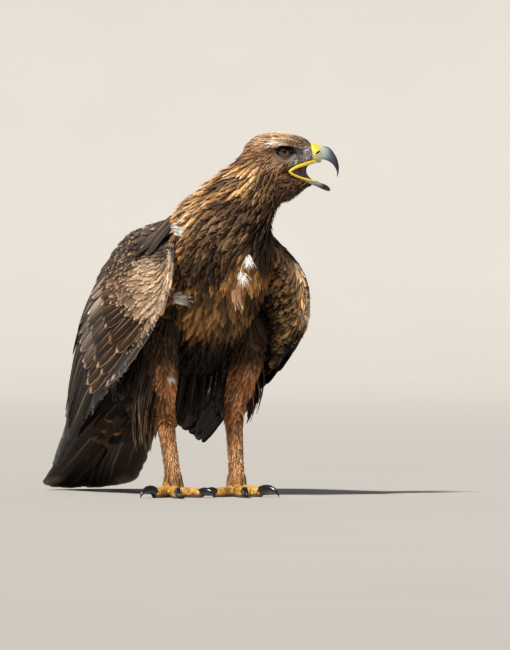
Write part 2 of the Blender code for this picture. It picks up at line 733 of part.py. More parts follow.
# height of each station's centre with its x, y and half sizes across and fore-and-aft
THIGH = Spline([
    (0.0, 50, 14, 240, 24, 36),
    (0.25, 60, 5, 212, 23.5, 36),
    (0.5, 60, 6, 182, 21, 32),
    (0.75, 55, 14, 150, 19, 26),
    (0.92, 50.5, 21, 120, 15.5, 19),
    (1.0, 48.6, 22, 104, 13.2, 15),
])
ANKLE, FOOT_TOP = (48.0, 21.0, 104.0), (44.0, 3.0, 20.0)
TARSUS = Spline([
    (0.0, 48.3, 21.5, 108, 12.2, 13.2),
    (0.12, 48, 21.5, 98, 12.4, 13.4),
    (0.45, 46.6, 15, 70, 11.2, 12.4),
    (0.8, 44.8, 6.5, 36, 11.0, 12.0),
    (1.0, 44, 3, 18.3, 12.2, 13.4),
])
FOOT_HEADING = math.radians(-14)  # feet point a little to the bird's right
# toe: heading from the foot's own, length to the claw, thickness at root and end, claw length, radius
TOES = {
    2: (46, 41, 8.2, 7.0, 39, 6.0),
    3: (2, 58, 8.2, 6.6, 33, 5.2),
    4: (-50, 44, 7.6, 6.2, 30, 4.8),
    1: (176, 33, 8.4, 7.4, 44, 6.4),
}


def leg_rings(spline, sign, count, sides, end=1.0):
    phi = np.linspace(0, 2 * np.pi, sides, endpoint=False)
    rings = []
    for t in np.linspace(0, end, count):
        x, y, z, across, deep = spline(t)
        slope = unit(spline(t + 0.02)[:3] - spline(t - 0.02)[:3])
        ring_y = np.array([0, -slope[2], slope[1]])
        ring_y = unit(ring_y - slope * (ring_y * slope).sum())
        points = np.array([x, y, z]) + np.outer(across * np.cos(phi), (1, 0, 0))
        points += np.outer(deep * np.sin(phi), ring_y)
        rings.append(points * (sign, 1, 1))
    return rings


# tier of trouser feathers: knot of the roots, count, length, how far they stand off, how far back
TROUSERS = {
    LEFT: ((0.56, 4, 62, 12, 16), (0.78, 4, 52, 9, 16)),
    RIGHT: ((0.50, 4, 100, 18, 30), (0.66, 4, 104, 12, 26), (0.80, 3, 66, 9, 18)),
}


def make_thigh(name, sign, torso, wing):
    """Feathered shank to the ankle, with the long trouser feathers behind it."""
    shapes = [tube(leg_rings(THIGH, sign, 8, 12))]
    for start, count, long, stand, back in TROUSERS[sign]:
        for k in range(count):
            round_leg = math.radians(-20 + 150 * k / (count - 1))  # from the outer side to behind
            x, y, z, across, deep = THIGH(start)
            out = np.array([math.cos(round_leg), math.sin(round_leg), 0])
            root = np.array([x, y, z]) + out * (across - 4, deep - 4, 0)
            s = np.linspace(0, 1, 4)[:, None]
            drop = np.array([-2.0, back, 0]) * s + np.array([0, 0, -long]) * s
            path = root + drop + out * stand * np.sin(s * np.pi * 0.55)
            along = unit(np.gradient(path, axis=0))
            normal = unit(out - along * (along * out).sum(-1, keepdims=True))
            side = np.cross(normal, along)
            shape = vane(path, side, normal, 22, 1.6, 0.0, POINTED_SHAPE, 0)
            shapes.append((shape[0] * (sign, 1, 1), [f[::sign] for f in shape[1]]))
    return cut_clear(joined(name, shapes), torso, wing)


def make_tarsus(name, sign, thigh, foot):
    tarsus = mesh_object(name, *tube(leg_rings(TARSUS, sign, 7, 12)))
    return cut_clear(tarsus, thigh, foot)


def toe_line(sign, toe):
    """Direction on the floor of a toe, and its root point at the foot's centre."""
    turn, length, *_ = TOES[toe]
    heading = FOOT_HEADING + sign * math.radians(turn)
    direction = np.array([math.sin(heading), -math.cos(heading), 0])
    return np.array([sign * FOOT_TOP[0], FOOT_TOP[1], 0]), direction, length


def toe_path(sign, toe, count=5):
    root, direction, length = toe_line(sign, toe)
    _, _, thick_root, thick_end, _, _ = TOES[toe]
    s = np.linspace(0, 1, count)
    arch = 1.6 * np.sin(np.pi * s) ** 2
    height = thick_root + (thick_end - thick_root) * s - 1.6 + arch
    path = root + np.outer(length * s, direction) + np.outer(height, UP)
    return path, thick_root + (thick_end - thick_root) * s


def make_foot(name, sign):
    """Pad and four toes lying flat on the floor, with raised scutes over each toe's end."""
    phi = np.linspace(0, 2 * np.pi, 10, endpoint=False)
    rings = []
    for z, wide in ((0.0, 11.5), (5.0, 13.6), (11.0, 13.2), (18.0, 12.4)):
        ring = np.stack([wide * np.cos(phi), 1.08 * wide * np.sin(phi), 0 * phi + z], -1)
        rings.append(ring + (sign * FOOT_TOP[0], FOOT_TOP[1], 0))
    shapes = [tube(rings)]
    for toe in TOES:
        path, radii = toe_path(sign, toe)
        radii = radii * np.array([1.0, 1.04, 0.96, 1.06, 0.86])
        shapes.append(round_tube(path, radii, 7, floor=0.0))
        _, direction, length = toe_line(sign, toe)
        across = np.cross(direction, UP)
        for k in range(2):
            at = (0.66 + 0.18 * k) * (len(path) - 1)
            centre = np.array([np.interp(at, range(len(path)), path[:, i]) for i in range(3)])
            radius = np.interp(at, range(len(path)), radii)
            rings = []
            for w in np.radians([25, 90, 155]):
                out = across * math.cos(w) + UP * math.sin(w)
                ring = [centre + direction * d + out * (radius + r)
                        for d, r in ((-2.4, -2), (2.4, -2), (2.0, 1.0), (-2.0, 1.3))]
                rings.append(ring)
            shapes.append(tube(rings))
    return joined(name, shapes)


CLAW_STATIONS = 7


def make_claw(name, sign, toe, foot):
    """Horn curved down from the toe's end, its tip just clear of the floor."""
    root, direction, length = toe_line(sign, toe)
    _, _, _, thick, reach, radius = TOES[toe]
    start = root + direction * (length - 3) + UP * (thick - 0.5)
    sweep = math.radians(112)
    bend = reach / sweep
    w = np.linspace(0, sweep, CLAW_STATIONS)
    lift = math.radians(38)  # the claw leaves the toe rising a little
    forward = bend * (np.sin(w - lift) + math.sin(lift))
    up = bend * (np.cos(w - lift) - math.cos(lift))
    low = up[-1] + start[2]
    up = up - np.linspace(0, 1, CLAW_STATIONS) ** 2 * (low - 0.7)
    path = start + np.outer(forward, direction) + np.outer(up, UP)
    radii = radius * (1 - np.linspace(0, 1, CLAW_STATIONS) ** 1.4) + 0.45
    claw = mesh_object(name, *round_tube(path, radii, 6, flat=1.15, floor=0.15))
    return cut_clear(claw, foot)


# ---------------------------------------------------------------- the whole bird

def settle(nodes):
    """Moves every node so that the middle of the bird's box stands on the origin."""
    boxes = np.array([[v.co[:] for v in node.data.vertices] for node in nodes for _ in (0,)], dtype=object)
    lows, highs = [], []
    for box in boxes:
        box = np.array(list(box), float)
        lows.append(box.min(0))
        highs.append(box.max(0))
    low, high = np.min(lows, 0), np.max(highs, 0)
    shift = np.array([(low[0] + high[0]) / 2, (low[1] + high[1]) / 2, low[2]])
    for node in nodes:
        for v in node.data.vertices:
            v.co = v.co - type(v.co)(shift)


def main():
    for old in list(bpy.data.objects):
        bpy.data.objects.remove(old)
    plumage, hackle = material("plumage", PLUMAGE), material("hackle", HACKLE)
    flight, tawny = material("flight", FLIGHT, 0.5), material("tawny", TAWNY)
    yellow, horn = material("yellow", YELLOW, 0.45), material("horn", HORN, 0.3)
    claw_look, mouth, iris = material("claw", CLAW, 0.25), material("mouth", MOUTH, 0.4), material("iris", IRIS, 0.1)

    torso = finish_node(make_torso(), plumage)
    eyes = [make_eye("eye_" + side, sign) for side, sign in SIDES.items()]
    cere = make_cere()
    bill = mesh_object("bill_upper", *tube(profile_rings(BILL, 14, square=0.6)))
    mandible = mesh_object("bill_lower", *tube(profile_rings(MANDIBLE, 14, trough=0.75)))
    tongue = make_tongue()
    cere = cut_clear(cere, mandible)
    head = cut_clear(make_head(eyes), cere, mandible)
    lining = mesh_object("mouth_lining", *tube(profile_rings(MOUTH_LINING, 8)))
    tongue = cut_clear(tongue, mandible)
    hollow = mesh_object("hollow", *tube(profile_rings(THROAT, 8)))
    lining = boolean(lining, [hollow], "DIFFERENCE")
    lining = cut_clear(lining, head, cere, mandible, tongue, by=2 * GAP)
    neck_core = mesh_object("neck_core", *tube(trunk_rings(TORSO_END - 0.1, NECK_END, 9)))
    neck = cut_clear(make_neck(), head)

    nodes = [torso, head, neck, cere, bill, mandible, tongue, lining, *eyes]
    finish_node(head, hackle)
    finish_node(neck, hackle)
    finish_node(cere, yellow)
    for part in (bill, mandible):
        finish_node(part, horn)
    for part in (tongue, lining):
        finish_node(part, mouth)
    for eye in eyes:
        finish_node(eye, iris)
    for side, sign in SIDES.items():
        wing = make_wing("wing_" + side, sign, torso, neck_core)
        thigh = make_thigh("thigh_" + side, sign, torso, wing)
        foot = make_foot("foot_" + side, sign)
        tarsus = make_tarsus("tarsus_" + side, sign, thigh, foot)
        claws = [make_claw(f"claw_{side}_{toe}", sign, toe, foot) for toe in TOES]
        nodes += [finish_node(wing, flight), finish_node(thigh, tawny), finish_node(tarsus, tawny)]
        nodes += [finish_node(foot, yellow), *(finish_node(claw, claw_look) for claw in claws)]
    wings = [node for node in nodes if node.name.startswith("wing")]
    nodes.append(finish_node(make_tail(torso, wings), flight))
    bpy.data.objects.remove(neck_core)
    settle(nodes)


main()
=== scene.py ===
"""Looks of the standing golden eagle: skin, plumage, quills, bill, eyes, feet and claws.

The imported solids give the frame. Shapes are worked out in the bird's own frame, in
millimetres, as the solids are: the bird faces -Y, its left side is +X, and the floor is
z = 0. placed() turns them into metres in the frame of the solids.
"""

import json
import math

import bmesh
import bpy
import numpy as np
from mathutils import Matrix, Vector, kdtree

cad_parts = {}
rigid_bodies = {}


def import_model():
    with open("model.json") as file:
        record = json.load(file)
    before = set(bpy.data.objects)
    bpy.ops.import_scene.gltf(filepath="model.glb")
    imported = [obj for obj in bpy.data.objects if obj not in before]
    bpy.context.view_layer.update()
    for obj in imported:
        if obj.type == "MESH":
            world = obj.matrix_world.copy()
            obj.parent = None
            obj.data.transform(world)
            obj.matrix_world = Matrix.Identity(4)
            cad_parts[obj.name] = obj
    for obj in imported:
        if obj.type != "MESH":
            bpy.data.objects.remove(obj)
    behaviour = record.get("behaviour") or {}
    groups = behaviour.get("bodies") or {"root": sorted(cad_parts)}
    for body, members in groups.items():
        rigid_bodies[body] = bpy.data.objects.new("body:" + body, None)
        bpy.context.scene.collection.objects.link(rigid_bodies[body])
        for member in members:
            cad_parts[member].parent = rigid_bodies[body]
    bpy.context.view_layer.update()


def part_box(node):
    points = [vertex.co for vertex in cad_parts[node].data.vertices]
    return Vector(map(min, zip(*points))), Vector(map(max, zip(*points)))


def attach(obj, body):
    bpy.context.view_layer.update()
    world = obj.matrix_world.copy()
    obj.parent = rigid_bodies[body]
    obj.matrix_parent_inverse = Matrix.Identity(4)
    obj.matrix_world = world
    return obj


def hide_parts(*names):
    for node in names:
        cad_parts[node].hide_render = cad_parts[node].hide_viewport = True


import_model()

MM = 0.001
HEAD_TURN = math.radians(68)  # from the body's heading to the bill
VIEW_TURN = math.radians(-22)  # from the body's heading to the line of sight
VIEW_RIGHT = np.array([math.cos(VIEW_TURN), math.sin(VIEW_TURN), 0])
VIEW_AHEAD = np.array([-math.sin(VIEW_TURN), math.cos(VIEW_TURN), 0])
LEFT, RIGHT = 1, -1
SIDES = {"left": LEFT, "right": RIGHT}
UP = np.array([0.0, 0.0, 1.0])

# ---- named colours

# PITCH is near black: black feathers, and painted shade on the belly, the sides under the wings and the vent
PITCH = (0.006, 0.004, 0.003)
NIGHT = (0.012, 0.008, 0.006)
UMBER = (0.045, 0.024, 0.014)
BROWN = (0.105, 0.055, 0.030)
RUSSET = (0.25, 0.105, 0.042)
TAWNY = (0.42, 0.20, 0.075)
GOLD = (0.66, 0.35, 0.11)
BUFF = (0.60, 0.43, 0.27)
CREAM = (0.78, 0.66, 0.50)
WHITE = (0.90, 0.88, 0.84)
AMBER = (0.46, 0.17, 0.045)
SAND = (0.62, 0.40, 0.24)
ASH = (0.34, 0.31, 0.30)
PALE_GREY = (0.55, 0.52, 0.52)
DUSK = (0.16, 0.105, 0.085)
SLATE = (0.10, 0.10, 0.115)
JET = (0.010, 0.009, 0.010)


# ---- curves and frames

class Spline:
    """Smooth curve through rows of (knot, values...)."""

    def __init__(self, rows):
        rows = np.array(rows, float)
        self.knots, self.values = rows[:, 0], rows[:, 1:]
        self.slopes = np.gradient(self.values, self.knots, axis=0)

    def __call__(self, t):
        k, v, m = self.knots, self.values, self.slopes
        t = np.clip(np.asarray(t, float), k[0], k[-1])
        i = np.clip(np.searchsorted(k, t, side="right") - 1, 0, len(k) - 2)
        h = (k[i + 1] - k[i])[..., None]
        u = (t - k[i])[..., None] / h
        return (
            (2 * u**3 - 3 * u**2 + 1) * v[i]
            + (u**3 - 2 * u**2 + u) * h * m[i]
            + (3 * u**2 - 2 * u**3) * v[i + 1]
            + (u**3 - u**2) * h * m[i + 1]
        )


def unit(v):
    return v / np.maximum(np.linalg.norm(v, axis=-1, keepdims=True), 1e-9)


def smoothstep(x):
    x = np.clip(x, 0, 1)
    return x * x * (3 - 2 * x)


def bump(x, centre, held):
    return np.exp(-(((x - centre) / held) ** 2))


def columns(*values):
    """Values side by side in rows, each value an array or one number."""
    return np.stack(np.broadcast_arrays(*values), -1)


def blend(a, b, share):
    share = np.asarray(share, float)[..., None]
    return np.asarray(a, float) * (1 - share) + np.asarray(b, float) * share


# knot, then spine point x, y, z, half width, half height to the back, half height to the belly
TRUNK = Spline([
    (0.00, 0, 214, 152, 32, 17, 24),
    (0.08, 0, 196, 164, 41, 27, 38),
    (0.20, 0, 165, 182, 54, 41, 55),
    (0.40, 0, 112, 214, 70, 57, 82),
    (0.62, 0, 50, 250, 78, 66, 88),
    (0.85, 0, -12, 286, 79, 68, 79),
    (1.05, 0, -52, 322, 73, 64, 68),
    (1.25, 1, -72, 354, 63, 59, 60),
    (1.45, 12, -84, 386, 53, 47, 55),
    (1.65, 28, -94, 414, 43, 34, 48),
    (1.85, 42, -100, 438, 34, 26, 37),
])
TRUNK_BACK = np.array([0.0, 0.86, -0.5])  # from the shoulders to the tail
TWIST_START, TWIST_END = 1.05, 1.80


def trunk_frame(t):
    """Spine point, left-hand and dorsal directions, and the three half sizes."""
    t = np.asarray(t, float)
    row = TRUNK(t)
    tangent = unit(TRUNK(t + 0.01)[..., :3] - TRUNK(t - 0.01)[..., :3])
    turn = HEAD_TURN * smoothstep((t - TWIST_START) / (TWIST_END - TWIST_START))
    side = columns(np.cos(turn), np.sin(turn), 0)
    side = unit(side - tangent * (side * tangent).sum(-1, keepdims=True))
    return row[..., :3], side, np.cross(tangent, side), row[..., 3:]


def trunk_point(t, phi, grow=0.0):
    """Point on the trunk: phi runs from the left side (0) over the back (90 degrees)."""
    centre, side, dorsal, half = trunk_frame(t)
    c, s = np.cos(phi), np.sin(phi)
    grow = grow + 13 * bump(t, 1.12, 0.18) * bump(np.abs(c), 0.62, 0.3) * (s > 0)
    high = np.where(s > 0, half[..., 1], half[..., 2]) + grow
    wide = half[..., 0] + grow
    return centre + side * (wide * c)[..., None] + dorsal * (high * s)[..., None]


BILL_AIM = np.array([math.sin(HEAD_TURN), -math.cos(HEAD_TURN), 0.0])
HEAD_LEFT = np.array([math.cos(HEAD_TURN), math.sin(HEAD_TURN), 0.0])
EYE_LEVEL = np.array([65.2, -110.5, 445.0])  # on the head's midplane, level with the eyes
EYE_RADIUS, EYE_OUT = 11.0, 19.0

# distance ahead of the eyes, middle height, half height up, half height down, half width
HEAD = Spline([
    (-52, 1, 4, 6, 6),
    (-47, 1, 13, 17, 17),
    (-37, 0, 21.5, 27, 24.5),
    (-22, -1, 28, 33, 30.5),
    (-6, -1, 29, 33, 32.5),
    (8, -1, 26.5, 24, 31),
    (20, -1, 24, 17, 25),
    (30, -1, 19, 13, 17.5),
    (37, -0.5, 12, 11.5, 11.5),
])


def head_at(ahead, left, up):
    """Place in the bird's frame of a point ahead of, left of and above EYE_LEVEL."""
    ahead, left, up = np.moveaxis(columns(ahead, left, up)[..., None], -2, 0)
    return EYE_LEVEL + ahead * BILL_AIM + left * HEAD_LEFT + up * UP


def in_head(points):
    """Distances ahead of, left of and above EYE_LEVEL."""
    from_eyes = points - EYE_LEVEL
    return from_eyes @ BILL_AIM, from_eyes @ HEAD_LEFT, from_eyes @ UP


def head_point(ahead, phi, grow=0.0):
    row = HEAD(ahead)
    ahead = np.asarray(ahead, float)
    c, s = np.cos(phi), np.sin(phi)
    jaw = 1 - 0.45 * smoothstep((ahead + 4) / 14)
    c = np.where(s < 0, np.sign(c) * np.abs(c) ** jaw, c)
    high = np.where(s > 0, row[..., 1], row[..., 2]) + grow
    left, level = (row[..., 3] + grow) * c, high * s
    brow = 4.6 * bump(ahead, 8, 13) * bump(level, 13, 5.5)
    socket = -4.4 * bump(ahead, 1, 11) * bump(level, 0, 8.5)
    lores = -2.6 * bump(ahead, 20, 8) * bump(level, -1, 8)
    cheek = 2.2 * bump(ahead, -12, 13) * bump(level, -16, 10)
    left = left + np.sign(c) * np.abs(c) ** 0.5 * (brow + socket + lores + cheek)
    return head_at(ahead, left, row[..., 0] + level)


# profiles on the head's midplane: upper point ahead and up, lower point, half width
BILL = Spline([
    (0.0, 46.6, 9.0, 45.0, -12.2, 9.0),
    (0.6, 50.4, 8.9, 48.0, -12.7, 8.9),
    (1.4, 55.4, 7.8, 51.2, -13.3, 8.3),
    (2.4, 60.2, 4.5, 55.2, -14.3, 7.2),
    (3.4, 64.8, -2.0, 59.4, -16.1, 5.9),
    (4.4, 68.3, -9.6, 63.0, -19.3, 4.5),
    (5.2, 69.8, -16.8, 65.6, -23.2, 3.2),
    (6.0, 69.7, -23.6, 67.0, -27.4, 2.0),
    (6.7, 68.4, -29.6, 67.3, -30.6, 0.7),
])
CERE = Spline([
    (0.0, 29.0, 12.2, 30.5, -9.6, 8.4),
    (0.8, 34.0, 12.6, 35.5, -11.6, 10.2),
    (1.6, 39.5, 11.6, 39.6, -12.3, 10.6),
    (2.4, 44.0, 10.0, 43.0, -12.4, 9.9),
    (3.0, 47.4, 9.1, 45.6, -12.4, 9.2),
    (3.2, 48.6, 8.6, 46.8, -12.1, 8.7),
])
MANDIBLE = Spline([
    (0.0, 8.0, -26.2, 7.5, -30.0, 23.5),
    (1.0, 21.0, -31.2, 19.5, -36.0, 18.5),
    (1.8, 30.0, -32.8, 29.6, -40.0, 14.0),
    (2.5, 37.2, -33.6, 38.4, -42.2, 10.8),
    (3.3, 46.0, -35.6, 48.0, -46.4, 7.8),
    (4.0, 53.4, -38.9, 54.5, -48.8, 5.0),
    (4.6, 59.0, -46.6, 58.0, -49.0, 1.6),
])
CHIN = Spline([
    (0.0, -24.0, -10.0, -22.0, -56.0, 22.0),
    (1.0, -6.0, -14.0, -6.0, -62.0, 25.0),
    (2.0, 6.0, -23.0, 6.0, -60.0, 26.5),
    (3.0, 15.0, -27.0, 15.0, -53.0, 23.5),
    (4.0, 25.0, -31.5, 25.0, -47.5, 18.5),
    (5.0, 35.0, -37.0, 35.0, -45.0, 12.0),
])
GAPE_LIP = [
    (5.5, 24.6, -24.4),
    (15.6, 22.0, -18.6),
    (26.0, 16.2, -15.0),
    (34.0, 9.6, -12.2),
    (41.0, 5.6, -11.0),
]
NOSTRIL, NOSTRIL_LEAN = (43.0, 0.4), (0.76, 0.65)  # its middle and the way its slit runs
# ahead of, out from and above EYE_LEVEL: the brow's ridge, and the eye's opening in profile
BROW = [(-16, 25.8, 7.6), (-8, 29.4, 9.2), (2, 31.4, 8.7), (11, 30.6, 7.2), (21, 22.8, 5.8)]
OPENING = [
    (-10.8, 0.4), (-8.8, 2.6), (-4.6, 3.2), (0.4, 2.7), (5.4, 1.5), (10.4, -0.6), (8.4, -3.2),
    (4.6, -5.3), (-0.2, -6.2), (-4.8, -5.3), (-8.6, -2.8), (-10.8, 0.4),
]


def profile_point(spline, s, phi, grow=0.0, square=1.0, roof=0.0, trough=0.0):
    """Point of a lofted profile: square below 1 widens its lower half, roof hollows that half
    and trough the upper one, both less towards the end."""
    top_a, top_u, low_a, low_u, wide = np.moveaxis(spline(s), -1, 0)
    c, sn = np.cos(phi), np.sin(phi)
    c = np.where(sn < 0, np.sign(c) * np.abs(c) ** square, c)
    fade = 1 - smoothstep((s - spline.knots[-1] + 0.9) / 0.9)
    level = sn - np.where(sn > 0, trough, roof) * sn**3 * fade
    half_a, half_u = (top_a - low_a) / 2, (top_u - low_u) / 2
    long = np.maximum(np.hypot(half_a, half_u), 1e-6)
    ahead = (top_a + low_a) / 2 + half_a * (1 + grow / long) * level
    up = (top_u + low_u) / 2 + half_u * (1 + grow / long) * level
    return head_at(ahead, (wide + grow) * c, up)


# knot from wrist to wing tip, then the leading edge, the outer bow and the trailing edge
WING = Spline([
    (0.00, 92, -86, 248, 89, -124, 293, 66, -52, 336),
    (0.10, 104, -70, 216, 124, -66, 286, 64, -4, 352),
    (0.22, 113, -22, 177, 148, -5, 262, 68, 48, 350),
    (0.36, 113, 56, 141, 150, 72, 232, 76, 105, 330),
    (0.50, 106, 135, 112, 139, 150, 200, 82, 165, 286),
    (0.64, 96, 205, 87, 118, 214, 158, 86, 216, 222),
    (0.80, 86, 288, 60, 93, 286, 91, 83, 282, 124),
    (1.00, 73, 384, 32, 73, 381, 40, 70, 375, 48),
])
# how each wing is held: knot, distance further out, rise of the trailing edge
HELD = {
    LEFT: Spline([
        (0, 12, 0), (0.1, 5, 0), (0.2, -11, 0), (0.3, -21, 2), (0.45, -20, 8), (0.64, -8, 20),
        (0.8, 0, 30), (1, 0, 6),
    ]),
    RIGHT: Spline([(0, 0, 0), (1, 0, 0)]),
}


def wing_point(p, q, sign):
    """Point on a wing's outer face: q runs from the leading to the trailing edge."""
    p, q = np.broadcast_arrays(np.asarray(p, float), np.asarray(q, float))
    row, q = WING(p), q[..., None]
    out, rise = np.moveaxis(HELD[sign](p), -1, 0)
    row[..., 0::3] += out[..., None] * (1, 1, 0.5)
    row[..., 8] += rise
    lead, bow, trail = row[..., 0:3], row[..., 3:6], row[..., 6:9]
    return ((1 - q) ** 2 * lead + 2 * q * (1 - q) * bow + q**2 * trail) * (sign, 1, 1)


def wing_normal(p, q, sign):
    step = 0.01
    p, q = np.broadcast_arrays(np.asarray(p, float), np.asarray(q, float))
    ahead, behind = np.minimum(p + step, 1), np.maximum(p - step, 0)
    along = wing_point(ahead, q, sign) - wing_point(behind, q, sign)
    across = wing_point(p, q + step, sign) - wing_point(p, q - step, sign)
    return unit(np.cross(along, across)) * sign


TAIL_ROOT, TAIL_TIP = np.array([0, 216.0, 151.0]), np.array([-15.0, 430.0, 4.0])
TAIL_ALONG = unit(TAIL_TIP - TAIL_ROOT)
TAIL_SIDE = unit(np.cross(TAIL_ALONG, UP))
TAIL_UP = np.cross(TAIL_SIDE, TAIL_ALONG)
FAN, TAIL_BASE = math.radians(9.0), 14.0

# height of each station's centre with its x, y and half sizes across and fore-and-aft
THIGH = Spline([
    (0.0, 50, 14, 240, 24, 36),
    (0.25, 60, 5, 212, 23.5, 36),
    (0.5, 60, 6, 182, 21, 32),
    (0.75, 55, 14, 150, 19, 26),
    (0.92, 50.5, 21, 120, 15.5, 19),
    (1.0, 48.6, 22, 104, 13.2, 15),
])
TARSUS = Spline([
    (0.0, 48.3, 21.5, 108, 12.2, 13.2),
    (0.12, 48, 21.5, 98, 12.4, 13.4),
    (0.45, 46.6, 15, 70, 11.2, 12.4),
    (0.8, 44.8, 6.5, 36, 11.0, 12.0),
    (1.0, 44, 3, 18.3, 12.2, 13.4),
])
FOOT_TOP = (44.0, 3.0, 20.0)
FOOT_HEADING = math.radians(-14)
# toe: turn in degrees, length, radius at root and end, claw's length and radius
TOES = {
    2: (46, 41, 8.2, 7.0, 39, 6.0),
    3: (2, 58, 8.2, 6.6, 33, 5.2),
    4: (-50, 44, 7.6, 6.2, 30, 4.8),
    1: (176, 33, 8.4, 7.4, 44, 6.4),
}


def leg_point(spline, t, phi, sign, grow=0.0):
    t = np.asarray(t, float)
    row = spline(t)
    slope = unit(spline(t + 0.02)[..., :3] - spline(t - 0.02)[..., :3])
    fore = columns(0, -slope[..., 2], slope[..., 1])
    fore = unit(fore - slope * (fore * slope).sum(-1, keepdims=True))
    across = (row[..., 3] + grow) * np.cos(phi)
    deep = (row[..., 4] + grow) * np.sin(phi)
    point = row[..., :3] + across[..., None] * (1, 0, 0) + deep[..., None] * fore
    return point * (sign, 1, 1)


# the bird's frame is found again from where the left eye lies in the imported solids
EYE_LOW, EYE_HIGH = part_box("eye_left")
SHIFT = np.array((EYE_LOW + EYE_HIGH) / 2) / MM - (EYE_LEVEL + HEAD_LEFT * EYE_OUT)


def placed(points):
    """Bird's frame in millimetres to the solids' frame in metres."""
    return (np.asarray(points, float) + SHIFT) * MM


def unplaced(points):
    return np.asarray(points, float) / MM - SHIFT


# ---- node trees

def open_socket(sockets, name):
    """The socket of that name or number that the node's settings leave in use."""
    if isinstance(name, int):
        return sockets[name]
    return next(s for s in sockets if s.name == name and s.enabled)


class Value:
    """A number, colour or vector in a node tree; maths on it is written as an expression."""

    def __init__(self, web, socket):
        self.web, self.socket = web, socket

    def __add__(self, other):
        return self.web.maths("ADD", self, other)

    def __sub__(self, other):
        return self.web.maths("SUBTRACT", self, other)

    def __rsub__(self, other):
        return self.web.maths("SUBTRACT", other, self)

    def __mul__(self, other):
        return self.web.maths("MULTIPLY", self, other)

    def __rtruediv__(self, other):
        return self.web.maths("DIVIDE", other, self)

    __radd__, __rmul__ = __add__, __mul__


class Web:
    """A node tree under construction."""

    def __init__(self, tree):
        self.tree = tree

    def feed(self, socket, value):
        if isinstance(value, Value):
            self.tree.links.new(value.socket, socket)
        elif isinstance(value, tuple) and socket.type == "RGBA":
            socket.default_value = (*value, 1)[:4]
        else:
            socket.default_value = value

    def node(self, kind, inputs=None, output=0, stops=None, **settings):
        """Adds a node: settings first, then a ramp's stops, then its sockets."""
        made = self.tree.nodes.new(kind)
        for key, value in settings.items():
            setattr(made, key, value)
        if stops:
            ramp = made.color_ramp
            while len(ramp.elements) < len(stops):
                ramp.elements.new(1)
            for element, (at, colour) in zip(ramp.elements, stops):
                element.position, element.color = at, (*colour, 1)
        for key, value in (inputs or {}).items():
            self.feed(open_socket(made.inputs, key), value)
        return Value(self, open_socket(made.outputs, output))

    def maths(self, operation, a, b=0.0):
        return self.node("ShaderNodeMath", {0: a, 1: b}, operation=operation)

    def along(self, operation, a, b):
        """Vector maths; SCALE takes a number as b."""
        second = "Scale" if operation == "SCALE" else 1
        return self.node("ShaderNodeVectorMath", {0: a, second: b}, operation=operation)

    def parts(self, vector):
        made = self.tree.nodes.new("ShaderNodeSeparateXYZ")
        self.feed(made.inputs[0], vector)
        return [Value(self, socket) for socket in made.outputs]

    def vector(self, x, y, z=0.0):
        return self.node("ShaderNodeCombineXYZ", {"X": x, "Y": y, "Z": z})


class Look(Web):
    """A material under construction, with its Principled shader."""

    def __init__(self, name, roughness, **constants):
        self.material = bpy.data.materials.new(name)
        self.material.use_nodes = True
        super().__init__(self.material.node_tree)
        self.shader = self.tree.nodes["Principled BSDF"]
        self.shader.inputs["Roughness"].default_value = roughness
        for socket, value in constants.items():
            self.shader.inputs[socket.replace("_", " ")].default_value = value

    def rising(self, value, low, high):
        """0 where value is at most low, rising to 1 where it is at least high."""
        inputs = {"Value": value, "From Min": low, "From Max": high}
        return self.node("ShaderNodeMapRange", inputs, interpolation_type="SMOOTHSTEP")

    def falling(self, value, low, high):
        return 1 - self.rising(value, low, high)

    def mixed(self, share, a, b, blend_type="MIX"):
        inputs = {"Factor": share, "A": a, "B": b}
        return self.node("ShaderNodeMix", inputs, "Result", data_type="RGBA", blend_type=blend_type)

    def lit(self, colour, share):
        """A colour made lighter or darker."""
        return self.mixed(1.0, colour, self.vector(share, share, share), "MULTIPLY")

    def attribute(self, name, output="Color"):
        return self.node("ShaderNodeAttribute", output=output, attribute_name=name)

    def map(self, name):
        """(across, along) of a UV map, each from 0 to 1."""
        return self.parts(self.node("ShaderNodeUVMap", uv_map=name))[:2]

    def place(self, scale=(1, 1, 1)):
        """Object coordinates in metres, divided by a scale."""
        inputs = {"Vector": self.node("ShaderNodeTexCoord", output="Object"), "Scale": scale}
        return self.node("ShaderNodeMapping", inputs, vector_type="TEXTURE")

    def noise(self, vector, scale, detail=3.0):
        inputs = {"Vector": vector, "Scale": scale, "Detail": detail, "Roughness": 0.55}
        return self.node("ShaderNodeTexNoise", inputs)

    def cells(self, vector, scale):
        return self.node("ShaderNodeTexVoronoi", {"Vector": vector, "Scale": scale}, "Distance")

    def put(self, socket, value):
        self.feed(self.shader.inputs[socket], value)

    def raised(self, height, strength, distance):
        inputs = {"Height": height, "Strength": strength, "Distance": distance}
        self.put("Normal", self.node("ShaderNodeBump", inputs))


